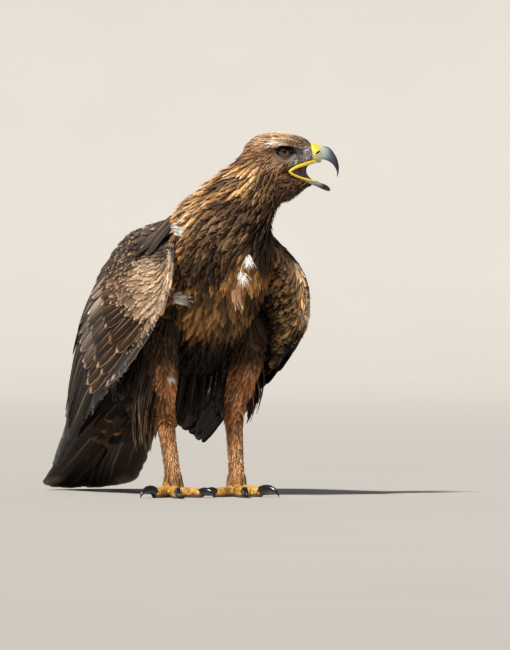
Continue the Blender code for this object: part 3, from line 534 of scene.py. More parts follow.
class Growth(Web):
    """A geometry tree under construction, with named inputs."""

    def __init__(self, name):
        super().__init__(bpy.data.node_groups.new(name, "GeometryNodeTree"))
        self.tree.interface.new_socket("Geometry", in_out="OUTPUT", socket_type="NodeSocketGeometry")
        self.entry = self.tree.nodes.new("NodeGroupInput")

    def input(self, name, kind):
        self.tree.interface.new_socket(name, in_out="INPUT", socket_type="NodeSocket" + kind)
        return Value(self, self.entry.outputs[name])

    def attribute(self, name, kind="FLOAT_VECTOR"):
        return self.node("GeometryNodeInputNamedAttribute", {"Name": name}, data_type=kind)

    def store(self, geometry, name, value, kind="FLOAT", domain="POINT"):
        inputs = {"Geometry": geometry, "Name": name, "Value": value}
        return self.node("GeometryNodeStoreNamedAttribute", inputs, data_type=kind, domain=domain)

    def chance(self, low, high, seed, kind="FLOAT"):
        inputs = {"Min": low, "Max": high, "Seed": seed}
        return self.node("FunctionNodeRandomValue", inputs, "Value", data_type=kind)

    def finish(self, geometry, material):
        shaped = self.node("GeometryNodeSetShadeSmooth", {"Geometry": geometry})
        inputs = {"Geometry": shaped, "Material": material}
        shown = self.node("GeometryNodeSetMaterial", inputs)
        self.feed(self.tree.nodes.new("NodeGroupOutput").inputs[0], shown)
        return self.tree


# ---- meshes

VANE_MAP, BAKE_MAP = "Vane", "OFBake"


def circle(count):
    """Angles of equal steps once round."""
    return np.linspace(0, 2 * np.pi, count, endpoint=False)


AROUND = 48  # points in a ring
TURN = circle(AROUND)


def new_object(name, mesh, material=None):
    made = bpy.data.objects.new(name, mesh)
    bpy.context.scene.collection.objects.link(made)
    if material:
        mesh.materials.clear()
        mesh.materials.append(material)
    return made


def mesh_of(name, points, faces):
    mesh = bpy.data.meshes.new(name)
    mesh.from_pydata(np.asarray(points).tolist(), [], [tuple(map(int, face)) for face in faces])
    mesh.shade_smooth()
    return mesh


def evaluated_mesh(obj):
    """The object's mesh with its modifiers taken in, and the modifiers removed."""
    graph = bpy.context.evaluated_depsgraph_get()
    mesh = bpy.data.meshes.new_from_object(obj.evaluated_get(graph))
    obj.modifiers.clear()
    obj.data = mesh
    return mesh


def coordinates(mesh):
    co = np.empty(len(mesh.vertices) * 3, np.float32)
    mesh.vertices.foreach_get("co", co)
    return co.reshape(-1, 3).astype(float)


def normals(mesh):
    found = np.empty(len(mesh.vertices) * 3, np.float32)
    mesh.vertex_normals.foreach_get("vector", found)
    return found.reshape(-1, 3).astype(float)


def write_attribute(mesh, name, values, kind="FLOAT_VECTOR"):
    made = mesh.attributes.new(name, kind, "POINT")
    values = np.asarray(values, np.float32)
    if kind == "FLOAT_COLOR":
        values = np.hstack([values, np.ones((len(values), 1), np.float32)])
    field = {"FLOAT": "value", "FLOAT_VECTOR": "vector", "FLOAT_COLOR": "color"}[kind]
    made.data.foreach_set(field, values.ravel())


def grid_faces(rows, sides, start=0, closed=True):
    """Quads between rings of points, the rings closed unless told otherwise."""
    at = start + np.arange(rows * sides).reshape(rows, sides)
    after = np.roll(at, -1, 1) if closed else at[:, 1:]
    at = at if closed else at[:, :-1]
    quads = np.stack([at[:-1], after[:-1], after[1:], at[1:]], -1)
    return quads.reshape(-1, 4)


def tube(rings, start=0):
    """Points and faces of a closed tube through rings, with a fan at each end."""
    rings = np.asarray(rings, float)
    n, m, _ = rings.shape
    points = np.vstack([rings.reshape(-1, 3), rings[0].mean(0), rings[-1].mean(0)])
    faces = [tuple(face) for face in grid_faces(n, m, start)]
    first, last = start + n * m, start + n * m + 1
    for j in range(m):
        k = (j + 1) % m
        faces.append((first, start + k, start + j))
        faces.append((last, start + (n - 1) * m + j, start + (n - 1) * m + k))
    return points, faces


def facing_out(mesh):
    """Turns the faces of every closed shell outwards."""
    work = bmesh.new()
    work.from_mesh(mesh)
    bmesh.ops.recalc_face_normals(work, faces=work.faces)
    work.to_mesh(mesh)
    work.free()
    return mesh


def tubes_object(name, tubes, material=None):
    """One object of several closed tubes, each given as its rings in the bird's frame."""
    points, faces, start = [], [], 0
    for rings in tubes:
        more, more_faces = tube(placed(rings), start)
        points.append(more)
        faces += more_faces
        start += len(more)
    return new_object(name, facing_out(mesh_of(name, np.vstack(points), faces)), material)


def melded(name, tubes, voxel, smooth):
    """Overlapping tubes run together into one skin with no seam."""
    obj = tubes_object(name, tubes)
    step = obj.modifiers.new("meld", "REMESH")
    step.mode, step.voxel_size = "VOXEL", voxel * MM
    if smooth:
        relax = obj.modifiers.new("relax", "SMOOTH")
        relax.factor, relax.iterations = 0.5, smooth
    mesh = evaluated_mesh(obj)
    mesh.shade_smooth()
    return obj


def unwrap(obj):
    """Unwraps the object's own shape onto the baking map."""
    layers = obj.data.uv_layers
    layers.active = layers.get(BAKE_MAP) or layers.new(name=BAKE_MAP)
    for other in bpy.context.view_layer.objects:
        other.select_set(False)
    bpy.context.view_layer.objects.active = obj
    obj.select_set(True)
    bpy.ops.object.mode_set(mode="EDIT")
    bpy.ops.mesh.select_all(action="SELECT")
    bpy.ops.uv.smart_project(angle_limit=math.radians(66), island_margin=0.004)
    bpy.ops.object.mode_set(mode="OBJECT")
    obj.select_set(False)


# ---- the skin

COAT = {"torso": 7.0, "neck": 6.5, "head": 2.4, "thigh": 4.0, "tarsus": 1.6, "chin": 2.0}
SKIN_VOXEL = 2.6
TORSO, HEAD_PART, LEG, SHANK = 0, 1, 2, 3


def trunk_depth(t):
    """How deep the coat lies over the trunk, thinner where the neck runs into the head."""
    deep = COAT["torso"] + (COAT["neck"] - COAT["torso"]) * smoothstep((t - 1.0) / 0.4)
    return deep - 3.2 * smoothstep((t - 1.4) / 0.4)


def skin_tubes():
    """Trunk, head, chin, brows and feathered legs, each drawn in by the coat's depth."""
    level = lambda knot: np.full(AROUND, knot)
    tubes = [
        [trunk_point(level(t), TURN, -trunk_depth(t)) for t in np.linspace(0, 1.85, 70)],
        [head_point(level(a), TURN, -COAT["head"]) for a in np.linspace(-50.5, 36.5, 60)],
        [profile_point(CHIN, level(s), TURN, -COAT["chin"]) for s in np.linspace(0, 5, 30)],
    ]
    for sign in (LEFT, RIGHT):
        ridge = finer([head_at(a, sign * out, up) for a, out, up in BROW], 24)
        tubes.append(swept_rings(ridge, finer((1.4, 2.6, 3.0, 2.8, 1.2), 24), 20))
    for sign in (LEFT, RIGHT):
        for spline, depth in ((THIGH, COAT["thigh"]), (TARSUS, COAT["tarsus"])):
            rings = []
            for s in np.linspace(0, 1, 36):
                top = 13 * max(1 - s / 0.16, 0) ** 2 * (spline is THIGH)
                rings.append(leg_point(spline, level(s), TURN, sign, -depth - top))
            tubes.append(rings)
    return tubes


def lattice(low, high, rows, count, start=0.0):
    """Knots and angles all over a lofted surface: rows along it, count round it from start."""
    knots, angles = np.linspace(low, high, rows), np.linspace(start, 2 * np.pi, count)
    return np.meshgrid(knots, angles, indexing="ij")


def lie_samples():
    """Points all over the bird with the way that the plumage lies, the part, and two knots."""
    found = []

    def take(points, ahead, part, a, b):
        rows = np.concatenate([points, unit(ahead - points), columns(part, a, b)], -1)
        found.append(rows.reshape(-1, 9))

    t, phi = lattice(0, 1.85, 110, 90)
    take(trunk_point(t, phi, -6), trunk_point(t - 0.02, phi, -6), TORSO, t, phi)
    a, phi = lattice(-50, 37, 60, 60)
    back = head_point(a - 3, phi, -2) + UP * -1.6 * np.cos(phi)[..., None] ** 2
    take(head_point(a, phi, -2), back, HEAD_PART, a, phi)
    s, phi = lattice(0, 5, 30, 30, np.pi)
    points = profile_point(CHIN, s, phi, -2)
    ahead, _, _ = in_head(points)
    take(points, points - BILL_AIM * 3 - UP * 1.5, HEAD_PART, ahead, phi)
    for sign in (LEFT, RIGHT):
        for spline, part, back in ((THIGH, LEG, 0.7), (TARSUS, SHANK, 0.15)):
            s, phi = lattice(0, 1, 40, 40)
            low = leg_point(spline, s + 0.03, phi, sign, -3) + np.array([0, back, 0])
            take(leg_point(spline, s, phi, sign, -3), low, part, s, phi)
    return np.vstack(found)


def read_at(samples, points):
    """For each point, the row of its nearest sample."""
    tree = kdtree.KDTree(len(samples))
    for i, row in enumerate(samples):
        tree.insert(row[:3], i)
    tree.balance()
    return samples[[tree.find(p)[1] for p in points]]


def evened(mesh, values, rounds):
    """Values at the points, averaged over their neighbours a number of times."""
    ends = np.empty(len(mesh.edges) * 2, np.int32)
    mesh.edges.foreach_get("vertices", ends)
    a, b = ends.reshape(-1, 2).T
    count = np.bincount(ends, minlength=len(values)).astype(float) + 1
    for _ in range(rounds):
        total = values.copy()
        for i in range(values.shape[1]):
            total[:, i] += np.bincount(a, values[b, i], len(values))
            total[:, i] += np.bincount(b, values[a, i], len(values))
        values = total / count[:, None]
    return values


def wander(points, size, seed):
    """Smooth random values from 0 to 1 over space, about size millimetres from high to low."""
    rng = np.random.default_rng(seed)
    total = np.zeros(len(points))
    for share in (1.0, 0.6, 0.4):
        for _ in range(4):
            wave = rng.normal(size=3)
            wave *= math.pi / (size * share * np.linalg.norm(wave))
            total += share * np.sin(points @ wave + rng.uniform(0, 2 * math.pi))
    return 0.5 + 0.5 * np.tanh(total / 2.2)


def eye_reach(ahead, up):
    """1 at the rim of the eye's opening, less inside it and more outside."""
    return np.hypot(ahead / 12.4, (up + 0.6) / 8.2)


def sharper(values):
    """Random values from 0 to 1 pushed towards both ends."""
    return smoothstep((values - 0.3) / 0.4)


# darker (below 0) and golden (above 0) patches of the front: distance to the left of the line
# of sight, height, reach across, reach up and tone
PATCHES = [
    (-3, 317, 15, 13, -1.0),
    (36, 330, 17, 10, -0.9),
    (6, 268, 7, 17, -0.9),
    (30, 269, 6, 13, -0.8),
    (70, 268, 8, 22, -0.8),
    (-31, 306, 9, 9, -0.9),
    (76, 352, 12, 20, -1.0),
    (-28, 222, 22, 14, -0.9),
    (23, 289, 17, 9, 1.0),
    (59, 304, 10, 12, 0.9),
    (-11, 289, 12, 10, 0.7),
    (-6, 374, 17, 14, 1.0),
    (-12, 250, 9, 10, 0.6),
    (54, 244, 14, 14, 0.7),
    (17, 226, 22, 6, 0.9),
    (13, 404, 10, 7, 0.7),
    (-33, 327, 10, 7, 0.8),
]


def patch_tone(points):
    aside, high = points @ VIEW_RIGHT, points[:, 2]
    return sum(tone * bump(aside, at, wide) * bump(high, up, tall) for at, up, wide, tall, tone in PATCHES)


def pair(heart, edge):
    """Heart and edge colours as one array, each for one point or for all of them."""
    return np.stack(np.broadcast_arrays(*np.atleast_2d(heart, edge)))


def strands(space, broad, narrow, seed):
    """Broad and narrow strands, dark at 0 and light at 1, in a space stretched along the lie."""
    return sharper(wander(space, broad, seed)), sharper(wander(space, narrow, seed + 1))


def sizes_along(knot, knots, sizes):
    """Width, length and lift of feathers, given at knots."""
    return columns(*(np.interp(knot, knots, size) for size in sizes))


# widths, lengths and lifts of feathers in millimetres, from the tail's root to the head and
# from the knee down
TRUNK_KNOTS = (0.0, 0.4, 0.9, 1.2, 1.5, 1.85)
TRUNK_SIZES = ((16, 15, 13, 11, 9.0, 5.6), (50, 46, 42, 38, 33, 20), (6, 5.5, 6.0, 6.5, 6.0, 3.6))
THIGH_SIZES, SHANK_SIZES = ((9, 5), (34, 20), (4.5, 3)), ((3.6, 3.6), (13, 8), (1.4, 1.4))


def trunk_markings(points, knot, phi, patchy, fine):
    """Golden and dark strands on breast and neck, dark belly and flanks deepened with painted shade, scaled
    brown back.
    """
    aside, z = np.abs(points[:, 0]), points[:, 2]
    broad, narrow = strands(columns(np.cos(phi) * 66, np.sin(phi) * 66, knot * 95), 19, 9, 3)
    tone, dark = patch_tone(points), sharper(wander(points, 30, 5))
    warm = np.clip(0.75 * broad + 0.35 * narrow - 0.20 * dark + 0.75 * tone, 0, 1)
    dark = np.clip(dark - tone, 0, 1)
    dull = pair(blend(NIGHT, BROWN, 0.1 + 0.4 * fine), blend(UMBER, RUSSET, 0.2 + 0.5 * fine))
    golden = pair(blend(RUSSET, GOLD, 0.2 + 0.5 * narrow), blend(AMBER, GOLD, 0.35 + 0.65 * narrow))
    breast = blend(blend(dull, golden, (0.9 * warm, warm)), pair(NIGHT, UMBER), 0.75 * dark)
    # painted shade: the sides under the wings, the hollow above the thighs and the lower belly are darkened
    # towards PITCH, beyond the belly's own dark feathers
    flank_shade = smoothstep((aside - 50) / 14) * smoothstep((288 - z) / 26)
    crease_shade = smoothstep((aside - 44) / 12) * smoothstep((280 - z) / 16)
    low = np.maximum(smoothstep((262 - z) / 48), 0.92 * np.maximum(flank_shade, crease_shade))
    breast = blend(breast, pair(PITCH, blend(PITCH, UMBER, 0.5 * fine)), low)
    back = pair(blend(NIGHT, UMBER, fine), blend(UMBER, BUFF, 0.25 + 0.4 * fine))
    colours = blend(breast, back, smoothstep((np.sin(phi) + 0.2) / 0.5))

    pale = np.clip(narrow * (0.2 + 0.6 * broad) + 0.3 * broad + 0.6 * tone, 0, 1)
    dull = pair(blend(NIGHT, UMBER, 0.3 + 0.7 * fine), blend(UMBER, RUSSET, 0.2 + 0.5 * fine))
    golden = pair(blend(TAWNY, GOLD, 0.6 * narrow), blend(GOLD, CREAM, 0.8 * patchy))
    hackles = blend(blend(dull, golden, (0.9 * pale, pale)), pair(NIGHT, UMBER), 0.5 * dark)
    throat = smoothstep((-0.35 - np.sin(phi)) / 0.45)
    hackles = blend(hackles, pair(NIGHT, blend(UMBER, BROWN, fine)), (0.6 * throat, 0.8 * throat))
    colours = blend(colours, hackles, smoothstep((knot - 1.08) / 0.26))
    rump = smoothstep((0.16 - knot) / 0.14)
    colours[1] = blend(colours[1], blend(UMBER, RUSSET, fine * 0.6), rump)
    return colours, sizes_along(knot, TRUNK_KNOTS, TRUNK_SIZES)


def head_markings(points, fine):
    """Streaked crown, pale brow, grey lores, orange-brown cheek, dark chin, painted shade under the brow and
    before the eye; and what is bare.
    """
    ahead, left, up = in_head(points)
    broad, narrow = strands(columns(ahead / 2.4, left, up), 8, 4.2, 8)
    crown = smoothstep((up - 7) / 8)
    rear = smoothstep((-14 - ahead) / 16)
    under = smoothstep((-25 - up) / 12)
    colours = pair(
        blend(blend(UMBER, BROWN, 0.3 + 0.5 * fine), RUSSET, 0.6 * narrow),
        blend(blend(BROWN, TAWNY, narrow), SAND, 0.8 * broad * narrow),
    )
    streaks = pair(blend(BROWN, SAND, 0.9 * narrow), blend(TAWNY, CREAM, 0.2 + 0.8 * narrow))
    colours = blend(colours, streaks, (crown, crown * (1 - 0.5 * rear)))
    fore = crown * smoothstep((ahead - 10) / 14)
    colours = blend(colours, pair(UMBER, BROWN), (0.8 * fore, 0.55 * fore * (1 - narrow)))
    colours[1] = blend(colours[1], blend(RUSSET, SAND, narrow), rear * 0.7)
    colours = blend(colours, pair(NIGHT, UMBER), (under * 0.8, under * 0.75))
    stripe = smoothstep((ahead + 17) / 7) * smoothstep((9 - ahead) / 8) * bump(up, 13.0, 3.0)
    stripe = stripe * (0.45 + 0.55 * narrow)
    colours = blend(colours, pair(CREAM, WHITE), (stripe * 0.8, stripe * 0.95))
    below = bump(up, -12.5, 4) * smoothstep((ahead + 16) / 6) * smoothstep((9 - ahead) / 6) * narrow
    colours = blend(colours, pair(SAND, CREAM), (0.5 * below, 0.8 * below))
    lores = smoothstep((ahead - 8) / 6) * smoothstep((9 - up) / 4) * smoothstep((up + 23) / 6)
    grey = pair(blend(DUSK, PALE_GREY, 0.2 + 0.6 * narrow), blend(ASH, WHITE, 0.3 + 0.5 * narrow))
    colours = blend(colours, grey, lores)
    # black under the brow's ridge and before the eye: painted shade of the brow, partly the dark feathers
    # there
    shade = smoothstep((up - 0.1 * ahead + 0.5) / 3) * smoothstep((8.6 - up) / 1.6)
    brow_shadow = smoothstep((ahead + 15) / 4) * smoothstep((21 - ahead) / 4) * bump(up, 6.8, 1.8)
    shade = np.maximum(bump(ahead, 12.5, 6.5) * shade, brow_shadow)
    colours = blend(colours, pair(NIGHT, NIGHT), (shade, 0.9 * shade))

    eye, small = eye_reach(ahead, up), np.clip((ahead + 50) / 75, 0, 1)
    face = np.maximum(lores, smoothstep((1.9 - eye) / 0.5))
    size = columns(
        4.6 - 2.2 * small + 2 * under,
        17 - 9.5 * small + 9 * under,
        2.6 - 1.2 * small + 2.6 * under,
    )
    size = size * (1 - (0.40, 0.30, 0.20) * face[:, None])
    bare = (eye < 1.2) & (np.abs(left) > 15) & (up < 8.5)
    bare |= (ahead > 33.5 + 0.2 * np.clip(12 - up, 0, 20)) | (ahead > 32) & (up < -34)
    return colours, size, bare


def leg_markings(points, knot, phi, fine, shank):
    """Orange-tawny in front and dark behind, or paler and mottled on the shank."""
    z = points[:, 2]
    broad, narrow = strands(columns(np.cos(phi) * 22, np.sin(phi) * 22, z / 3.2), 11, 6, 12)
    behind = smoothstep((np.sin(phi) + 0.1) / 0.7)
    orange = smoothstep((190 - z + 14 * fine) / 26) * (1 - 0.8 * behind * (not shank))
    tawny = pair(
        blend(blend(RUSSET, AMBER, 0.6), UMBER, 0.7 * broad),
        blend(AMBER, CREAM, 0.5 * narrow * (1 - 0.7 * broad)),
    )
    colours = blend(pair(blend(UMBER, NIGHT, fine), blend(UMBER, BROWN, fine)), tawny, orange)
    colours[1] = blend(colours[1], BROWN, 0.5 * broad * (1 - narrow))
    mottled = pair(
        blend(TAWNY, BROWN, broad),
        blend(blend(SAND, CREAM, 0.5 * narrow), BROWN, 0.7 * broad),
    )
    pale = smoothstep((112 - z) / 50) * shank
    colours = blend(colours, mottled, (0.85 * pale, 0.9 * pale))
    return colours, sizes_along(knot, (0, 1), SHANK_SIZES if shank else THIGH_SIZES)


def body_markings(samples, points):
    """Heart and edge colours, feather sizes in millimetres and cover at points of the skin."""
    part, knot, phi = samples[:, 6], samples[:, 7], samples[:, 8]
    patchy, fine = wander(points, 60, 1), wander(points, 24, 2)
    colours, size = trunk_markings(points, knot, phi, patchy, fine)
    *on_head, bare = head_markings(points, fine)
    for region, (marked, sized) in (
        (HEAD_PART, on_head),
        (LEG, leg_markings(points, knot, phi, fine, shank=False)),
        (SHANK, leg_markings(points, knot, phi, fine, shank=True)),
    ):
        mine = part == region
        colours[:, mine], size[mine] = marked[:, mine], sized[mine]
    cover = np.where((part == HEAD_PART) & bare, 0.0, 1.0)
    return *colours, size, cover


def write_plumage(mesh, out, lie, heart, edge, size, cover):
    """The fields that a coat grows from."""
    write_attribute(mesh, "out", out)
    write_attribute(mesh, "lie", lie)
    write_attribute(mesh, "size", size * MM)
    write_colours(mesh, heart, edge)
    write_attribute(mesh, "cover", cover, "FLOAT")


def move_points(mesh, points):
    """Puts a mesh's points at places in the bird's frame."""
    mesh.vertices.foreach_set("co", placed(points).astype(np.float32).ravel())
    mesh.update()


def along_surface(lie, out):
    return unit(lie - out * (lie * out).sum(1, keepdims=True))


def make_skin():
    """The one skin of head, neck, trunk and feathered legs, with the plumage's fields on it."""
    skin = melded("skin", skin_tubes(), SKIN_VOXEL, smooth=4)
    mesh = skin.data
    points = unplaced(coordinates(mesh))
    ahead, left, up = in_head(points)
    hollow = smoothstep((1.16 - eye_reach(ahead, up)) / 0.25) * (np.abs(left) > 12)
    sunk = np.minimum(np.abs(left), EYE_OUT + 3)
    new_left = np.sign(left) * (np.abs(left) * (1 - hollow) + sunk * hollow)
    points = points + (new_left - left)[:, None] * HEAD_LEFT
    move_points(mesh, points)
    samples = read_at(lie_samples(), points)
    out = unit(evened(mesh, normals(mesh), 6))
    lie = along_surface(evened(mesh, samples[:, 3:6], 14), out)
    *fields, cover = body_markings(samples, points)
    write_plumage(mesh, out, lie, *(evened(mesh, field, 1) for field in fields), cover)
    return skin, samples, points


# ---- blades of the coat

BROAD = Spline([(0, 0.4), (0.2, 0.8), (0.5, 1), (0.75, 0.92), (0.9, 0.60), (1, 0.14)])
LANCE = Spline([(0, 0.4), (0.25, 0.9), (0.5, 1), (0.7, 0.88), (0.88, 0.52), (1, 0.06)])
SOFT = Spline([(0, 0.45), (0.3, 0.95), (0.6, 1), (0.82, 0.7), (1, 0.08)])
BLADE_KINDS = {  # outline, stations, depth of the notches between barbs, camber and thickness in mm
    "broad": (BROAD, 8, 0.10, 0.7, 0.28),
    "lance": (LANCE, 8, 0.24, 0.6, 0.26),
    "soft": (SOFT, 6, 0.24, 0.4, 0.20),
    "small": (SOFT, 6, 0.20, 0.25, 0.14),
}
BLADES_OF_A_KIND = 4


def blade_mesh(name, outline, stations, notch, camber, thick, rng):
    """A feather one unit wide and one long, with loose barbs: edge, quill, edge, underside."""
    s = np.linspace(0, 1, stations) ** 0.85
    odd = np.arange(stations) % 2 == 1
    edges = []
    for side in (-1, 1):
        loose = np.where(odd, 1.0, 1 - notch) * rng.uniform(0.88, 1.1, stations)
        wide = 0.5 * outline(s)[:, 0] * loose
        slip = np.where(odd, 0.035, -0.02) * rng.uniform(0.4, 1.4, stations)
        edges.append((side * wide, s + slip * (s < 0.98)))
    bend = rng.uniform(-0.06, 0.06) * s**2
    thin = thick * (1 - 0.5 * s)
    edges = [columns(wide + bend, down, -camber * outline(s)[:, 0]) for wide, down in edges]
    quill, underside = columns(bend, s, thin), columns(bend, s, -camber * 0.25 - thin)
    points = np.stack([edges[0], quill, edges[1], underside], 1).reshape(-1, 3) * (1, 1, MM)
    last = 4 * (stations - 1)
    faces = [*grid_faces(stations, 4), (3, 2, 1, 0), (last, last + 1, last + 2, last + 3)]
    mesh = facing_out(mesh_of(name, points, faces))
    across, down = np.tile([-1.0, 0.0, 1.0, 0.0], stations), np.repeat(s, 4)
    write_attribute(mesh, "blade", columns(across, down, points[:, 2]))
    add_map(mesh, VANE_MAP, columns(across * 0.5 + 0.5, down))
    return mesh


def write_colours(mesh, heart, edge):
    write_attribute(mesh, "heart", heart, "FLOAT_COLOR")
    write_attribute(mesh, "edge", edge, "FLOAT_COLOR")


def add_map(mesh, name, at_points):
    """A UV map whose values are given at the points."""
    corners = np.empty(len(mesh.loops), np.int32)
    mesh.loops.foreach_get("vertex_index", corners)
    layer = mesh.uv_layers.new(name=name)
    layer.data.foreach_set("uv", np.asarray(at_points, np.float32)[corners].ravel())


def make_blades():
    """A collection of blades for each kind, kept out of the scene."""
    kinds = {}
    rng = np.random.default_rng(7)
    for kind, numbers in BLADE_KINDS.items():
        group = bpy.data.collections.new(kind)
        for k in range(BLADES_OF_A_KIND):
            mesh = blade_mesh(f"{kind}_{k}", *numbers, rng)
            group.objects.link(bpy.data.objects.new(mesh.name, mesh))
        kinds[kind] = group
    return kinds


def coat_tree():
    """Grows blades over a surface along its lie and lays them down on the skin."""
    web = Growth("coat")
    surface, body = web.input("Geometry", "Geometry"), web.input("Skin", "Object")
    blades, spacing = web.input("Blades", "Collection"), web.input("Spacing", "Float")
    uneven, stray = web.input("Unevenness", "Float"), web.input("Stray", "Float")
    cling, patch = web.input("Cling", "Float"), web.input("Patch", "Float")
    seed, material = web.input("Seed", "Int"), web.input("Material", "Material")
    out, lie, size = web.attribute("out"), web.attribute("lie"), web.attribute("size")

    scatter = {
        "Mesh": surface,
        "Distance Min": spacing,
        "Density Max": 3 / (spacing * spacing),
        "Density Factor": web.attribute("cover", "FLOAT"),
        "Seed": seed,
    }
    points = web.node("GeometryNodeDistributePointsOnFaces", scatter, distribute_method="POISSON")
    points = web.store(points, "chance", web.chance(0.0, 1.0, seed + 1))
    axes = {"Primary Axis": out, "Secondary Axis": lie}
    turn = web.node("FunctionNodeAxesToRotation", axes, primary_axis="Z", secondary_axis="Y")
    roll, yaw = web.chance(-0.3, 0.3, seed + 2) * stray, web.chance(-1.0, 1.0, seed + 3) * stray
    twist = web.node("FunctionNodeEulerToRotation", {"Euler": web.vector(0.0, roll, yaw)})
    turning = {"Rotation": turn, "Rotate By": twist}
    turn = web.node("FunctionNodeRotateRotation", turning, rotation_space="LOCAL")
    width, length, _ = web.parts(size)
    grow = 1 + web.chance(-1.0, 1.0, seed + 4) * uneven
    kinds = {"Collection": blades, "Separate Children": True, "Reset Children": True}
    inputs = {
        "Points": points,
        "Instance": web.node("GeometryNodeCollectionInfo", kinds),
        "Pick Instance": True,
        "Instance Index": web.chance(0, BLADES_OF_A_KIND - 1, seed + 5, "INT"),
        "Rotation": turn,
        "Scale": web.vector(width * grow, length * grow, 1.0),
    }
    grown = web.node("GeometryNodeInstanceOnPoints", inputs)
    grown = web.node("GeometryNodeRealizeInstances", {"Geometry": grown})

    place = web.node("GeometryNodeInputPosition")
    skin = web.node("GeometryNodeObjectInfo", {"Object": body}, "Geometry")
    near = {"Geometry": skin, "Sample Position": place}
    near = web.node("GeometryNodeProximity", near, "Position", target_element="FACES")
    away = {"Mesh": skin, "Value": out, "Sample Position": place}
    away = web.node("GeometryNodeSampleNearestSurface", away, "Value", data_type="FLOAT_VECTOR")
    _, down, thick = web.parts(web.attribute("blade"))
    _, _, lift = web.parts(size)
    loose = web.attribute("chance", "FLOAT") * 0.9 + 0.55
    height = thick + lift * (loose * (down * down * 0.45 + down * 0.55) - 0.10)
    laid = web.along("ADD", near, web.along("SCALE", web.along("NORMALIZE", away, (0, 0, 0)), height))
    inputs = {"Factor": cling, "A": place, "B": laid}
    settled = web.node("ShaderNodeMix", inputs, "Result", data_type="VECTOR")
    grown = web.node("GeometryNodeSetPosition", {"Geometry": grown, "Position": settled})

    vane = web.along("SUBTRACT", web.attribute(VANE_MAP), (0.5, 0.5, 0.0))
    spot = web.along("ADD", web.attribute(BAKE_MAP), web.along("SCALE", vane, patch))
    grown = web.store(grown, BAKE_MAP, spot, "FLOAT2", "CORNER")
    return web.finish(grown, material)


KEPT_ATTRIBUTES = {"position", "heart", "edge", "chance", VANE_MAP, BAKE_MAP, "sharp_face"}
BAKE_PATCH = 0.003  # a blade's share of the baking map
CLING, UNEVEN = 1.0, 0.16  # how closely blades bend to the skin, how much their sizes differ


def set_inputs(modifier, values):
    for item in modifier.node_group.interface.items_tree:
        if item.in_out == "INPUT" and item.name in values:
            modifier[item.identifier] = values[item.name]


def grow_coat(name, skin, chosen, tree, blades, spacing, material, stray):
    """A coat over the chosen faces of a skin: the piece holds plain mesh at the end."""
    surface = part_of(name, skin, chosen)
    unwrap(surface)
    modifier = surface.modifiers.new("coat", "NODES")
    modifier.node_group = tree
    set_inputs(modifier, {
        "Skin": skin,
        "Blades": blades,
        "Spacing": spacing * MM,
        "Unevenness": UNEVEN,
        "Stray": stray,
        "Cling": CLING,
        "Patch": BAKE_PATCH,
        "Seed": sum(map(ord, name)),
        "Material": material,
    })
    mesh = evaluated_mesh(surface)
    mesh.materials.clear()
    mesh.materials.append(material)
    for found in list(mesh.attributes):
        if not (found.name in KEPT_ATTRIBUTES or found.is_internal or found.is_required):
            mesh.attributes.remove(found)
    return surface


def part_of(name, skin, chosen):
    """A copy of the skin's faces whose points are all chosen."""
    work = bmesh.new()
    work.from_mesh(skin.data)
    work.verts.ensure_lookup_table()
    gone = [v for v, keep in zip(work.verts, chosen) if not keep]
    bmesh.ops.delete(work, geom=gone, context="VERTS")
    mesh = bpy.data.meshes.new(name)
    work.to_mesh(mesh)
    work.free()
    return new_object(name, mesh)


# ---- feather materials

def plumage_look(name, roughness=0.62, shaft=0.25, barbs=0.7, fringe=0.5, spread=0.8, ragged=1.0):
    """Feathers whose heart colour runs out into the edge's, streaked along the barbs, with painted shade
    towards their bases.
    """
    look = Look(name, roughness, Specular_IOR_Level=0.15)
    across, along = look.map(VANE_MAP)
    out = look.maths("ABSOLUTE", across * 2 - 1)
    chance = look.attribute("chance", "Fac")
    barb = look.vector((along - out * 0.3) * 26, across * 1.5, chance * 37)
    streak = look.noise(barb, 1.0, 2.0)
    blotch = look.noise(look.vector(across * 1.2, along * 1.6, chance * 53), 1.6, 2.0)
    rim = look.maths("MAXIMUM", out, along * along * 1.02)
    rim = rim + ((streak - 0.5) * 0.4 + (blotch - 0.5) * 0.7) * ragged
    border = look.rising(rim, 1 - fringe, 1 - 0.3 * fringe)
    colour = look.mixed(border, look.attribute("heart"), look.attribute("edge"))
    lights = (chance * spread + 1.04 - spread * 0.5) * (streak * barbs + (1 - barbs * 0.5))
    # feathers are darker towards their bases: painted shade where they overlap
    colour = look.lit(colour, lights * (look.falling(along, 0.0, 0.6) * -0.35 + 1.08))
    quill = look.falling(out, 0.03, 0.12) * look.falling(along, 0.5, 0.95)
    look.put("Base Color", look.mixed(quill * shaft, colour, BUFF))
    look.raised(streak + quill * 0.5, 0.3, 0.0005)
    return look.material


def skin_look():
    """The skin between the feathers carries their colours, matt and darkened as painted shade under them."""
    look = Look("skin", 0.9)
    grain = look.noise(look.place(), 900, 2.0)
    ground = look.mixed(0.4, look.attribute("heart"), look.attribute("edge"))
    # darkened to between 0.3 and 0.8: painted shade under the feathers, with a fine grain
    look.put("Base Color", look.lit(ground, grain * 0.5 + 0.3))
    look.raised(grain, 0.4, 0.0004)
    return look.material


# ---- large feathers

FLIGHT = Spline([(0, 0.45), (0.2, 0.8), (0.55, 1), (0.82, 0.96), (0.94, 0.72), (1, 0.2)])
COVERT = Spline([(0, 0.6), (0.3, 0.95), (0.6, 1), (0.85, 0.82), (0.95, 0.5), (1, 0.15)])
LANCET = Spline([(0, 0.6), (0.3, 0.95), (0.55, 1), (0.8, 0.78), (0.93, 0.42), (1, 0.05)])
POINTED = Spline([(0, 0.6), (0.3, 1), (0.6, 0.85), (0.85, 0.45), (1, 0.05)])
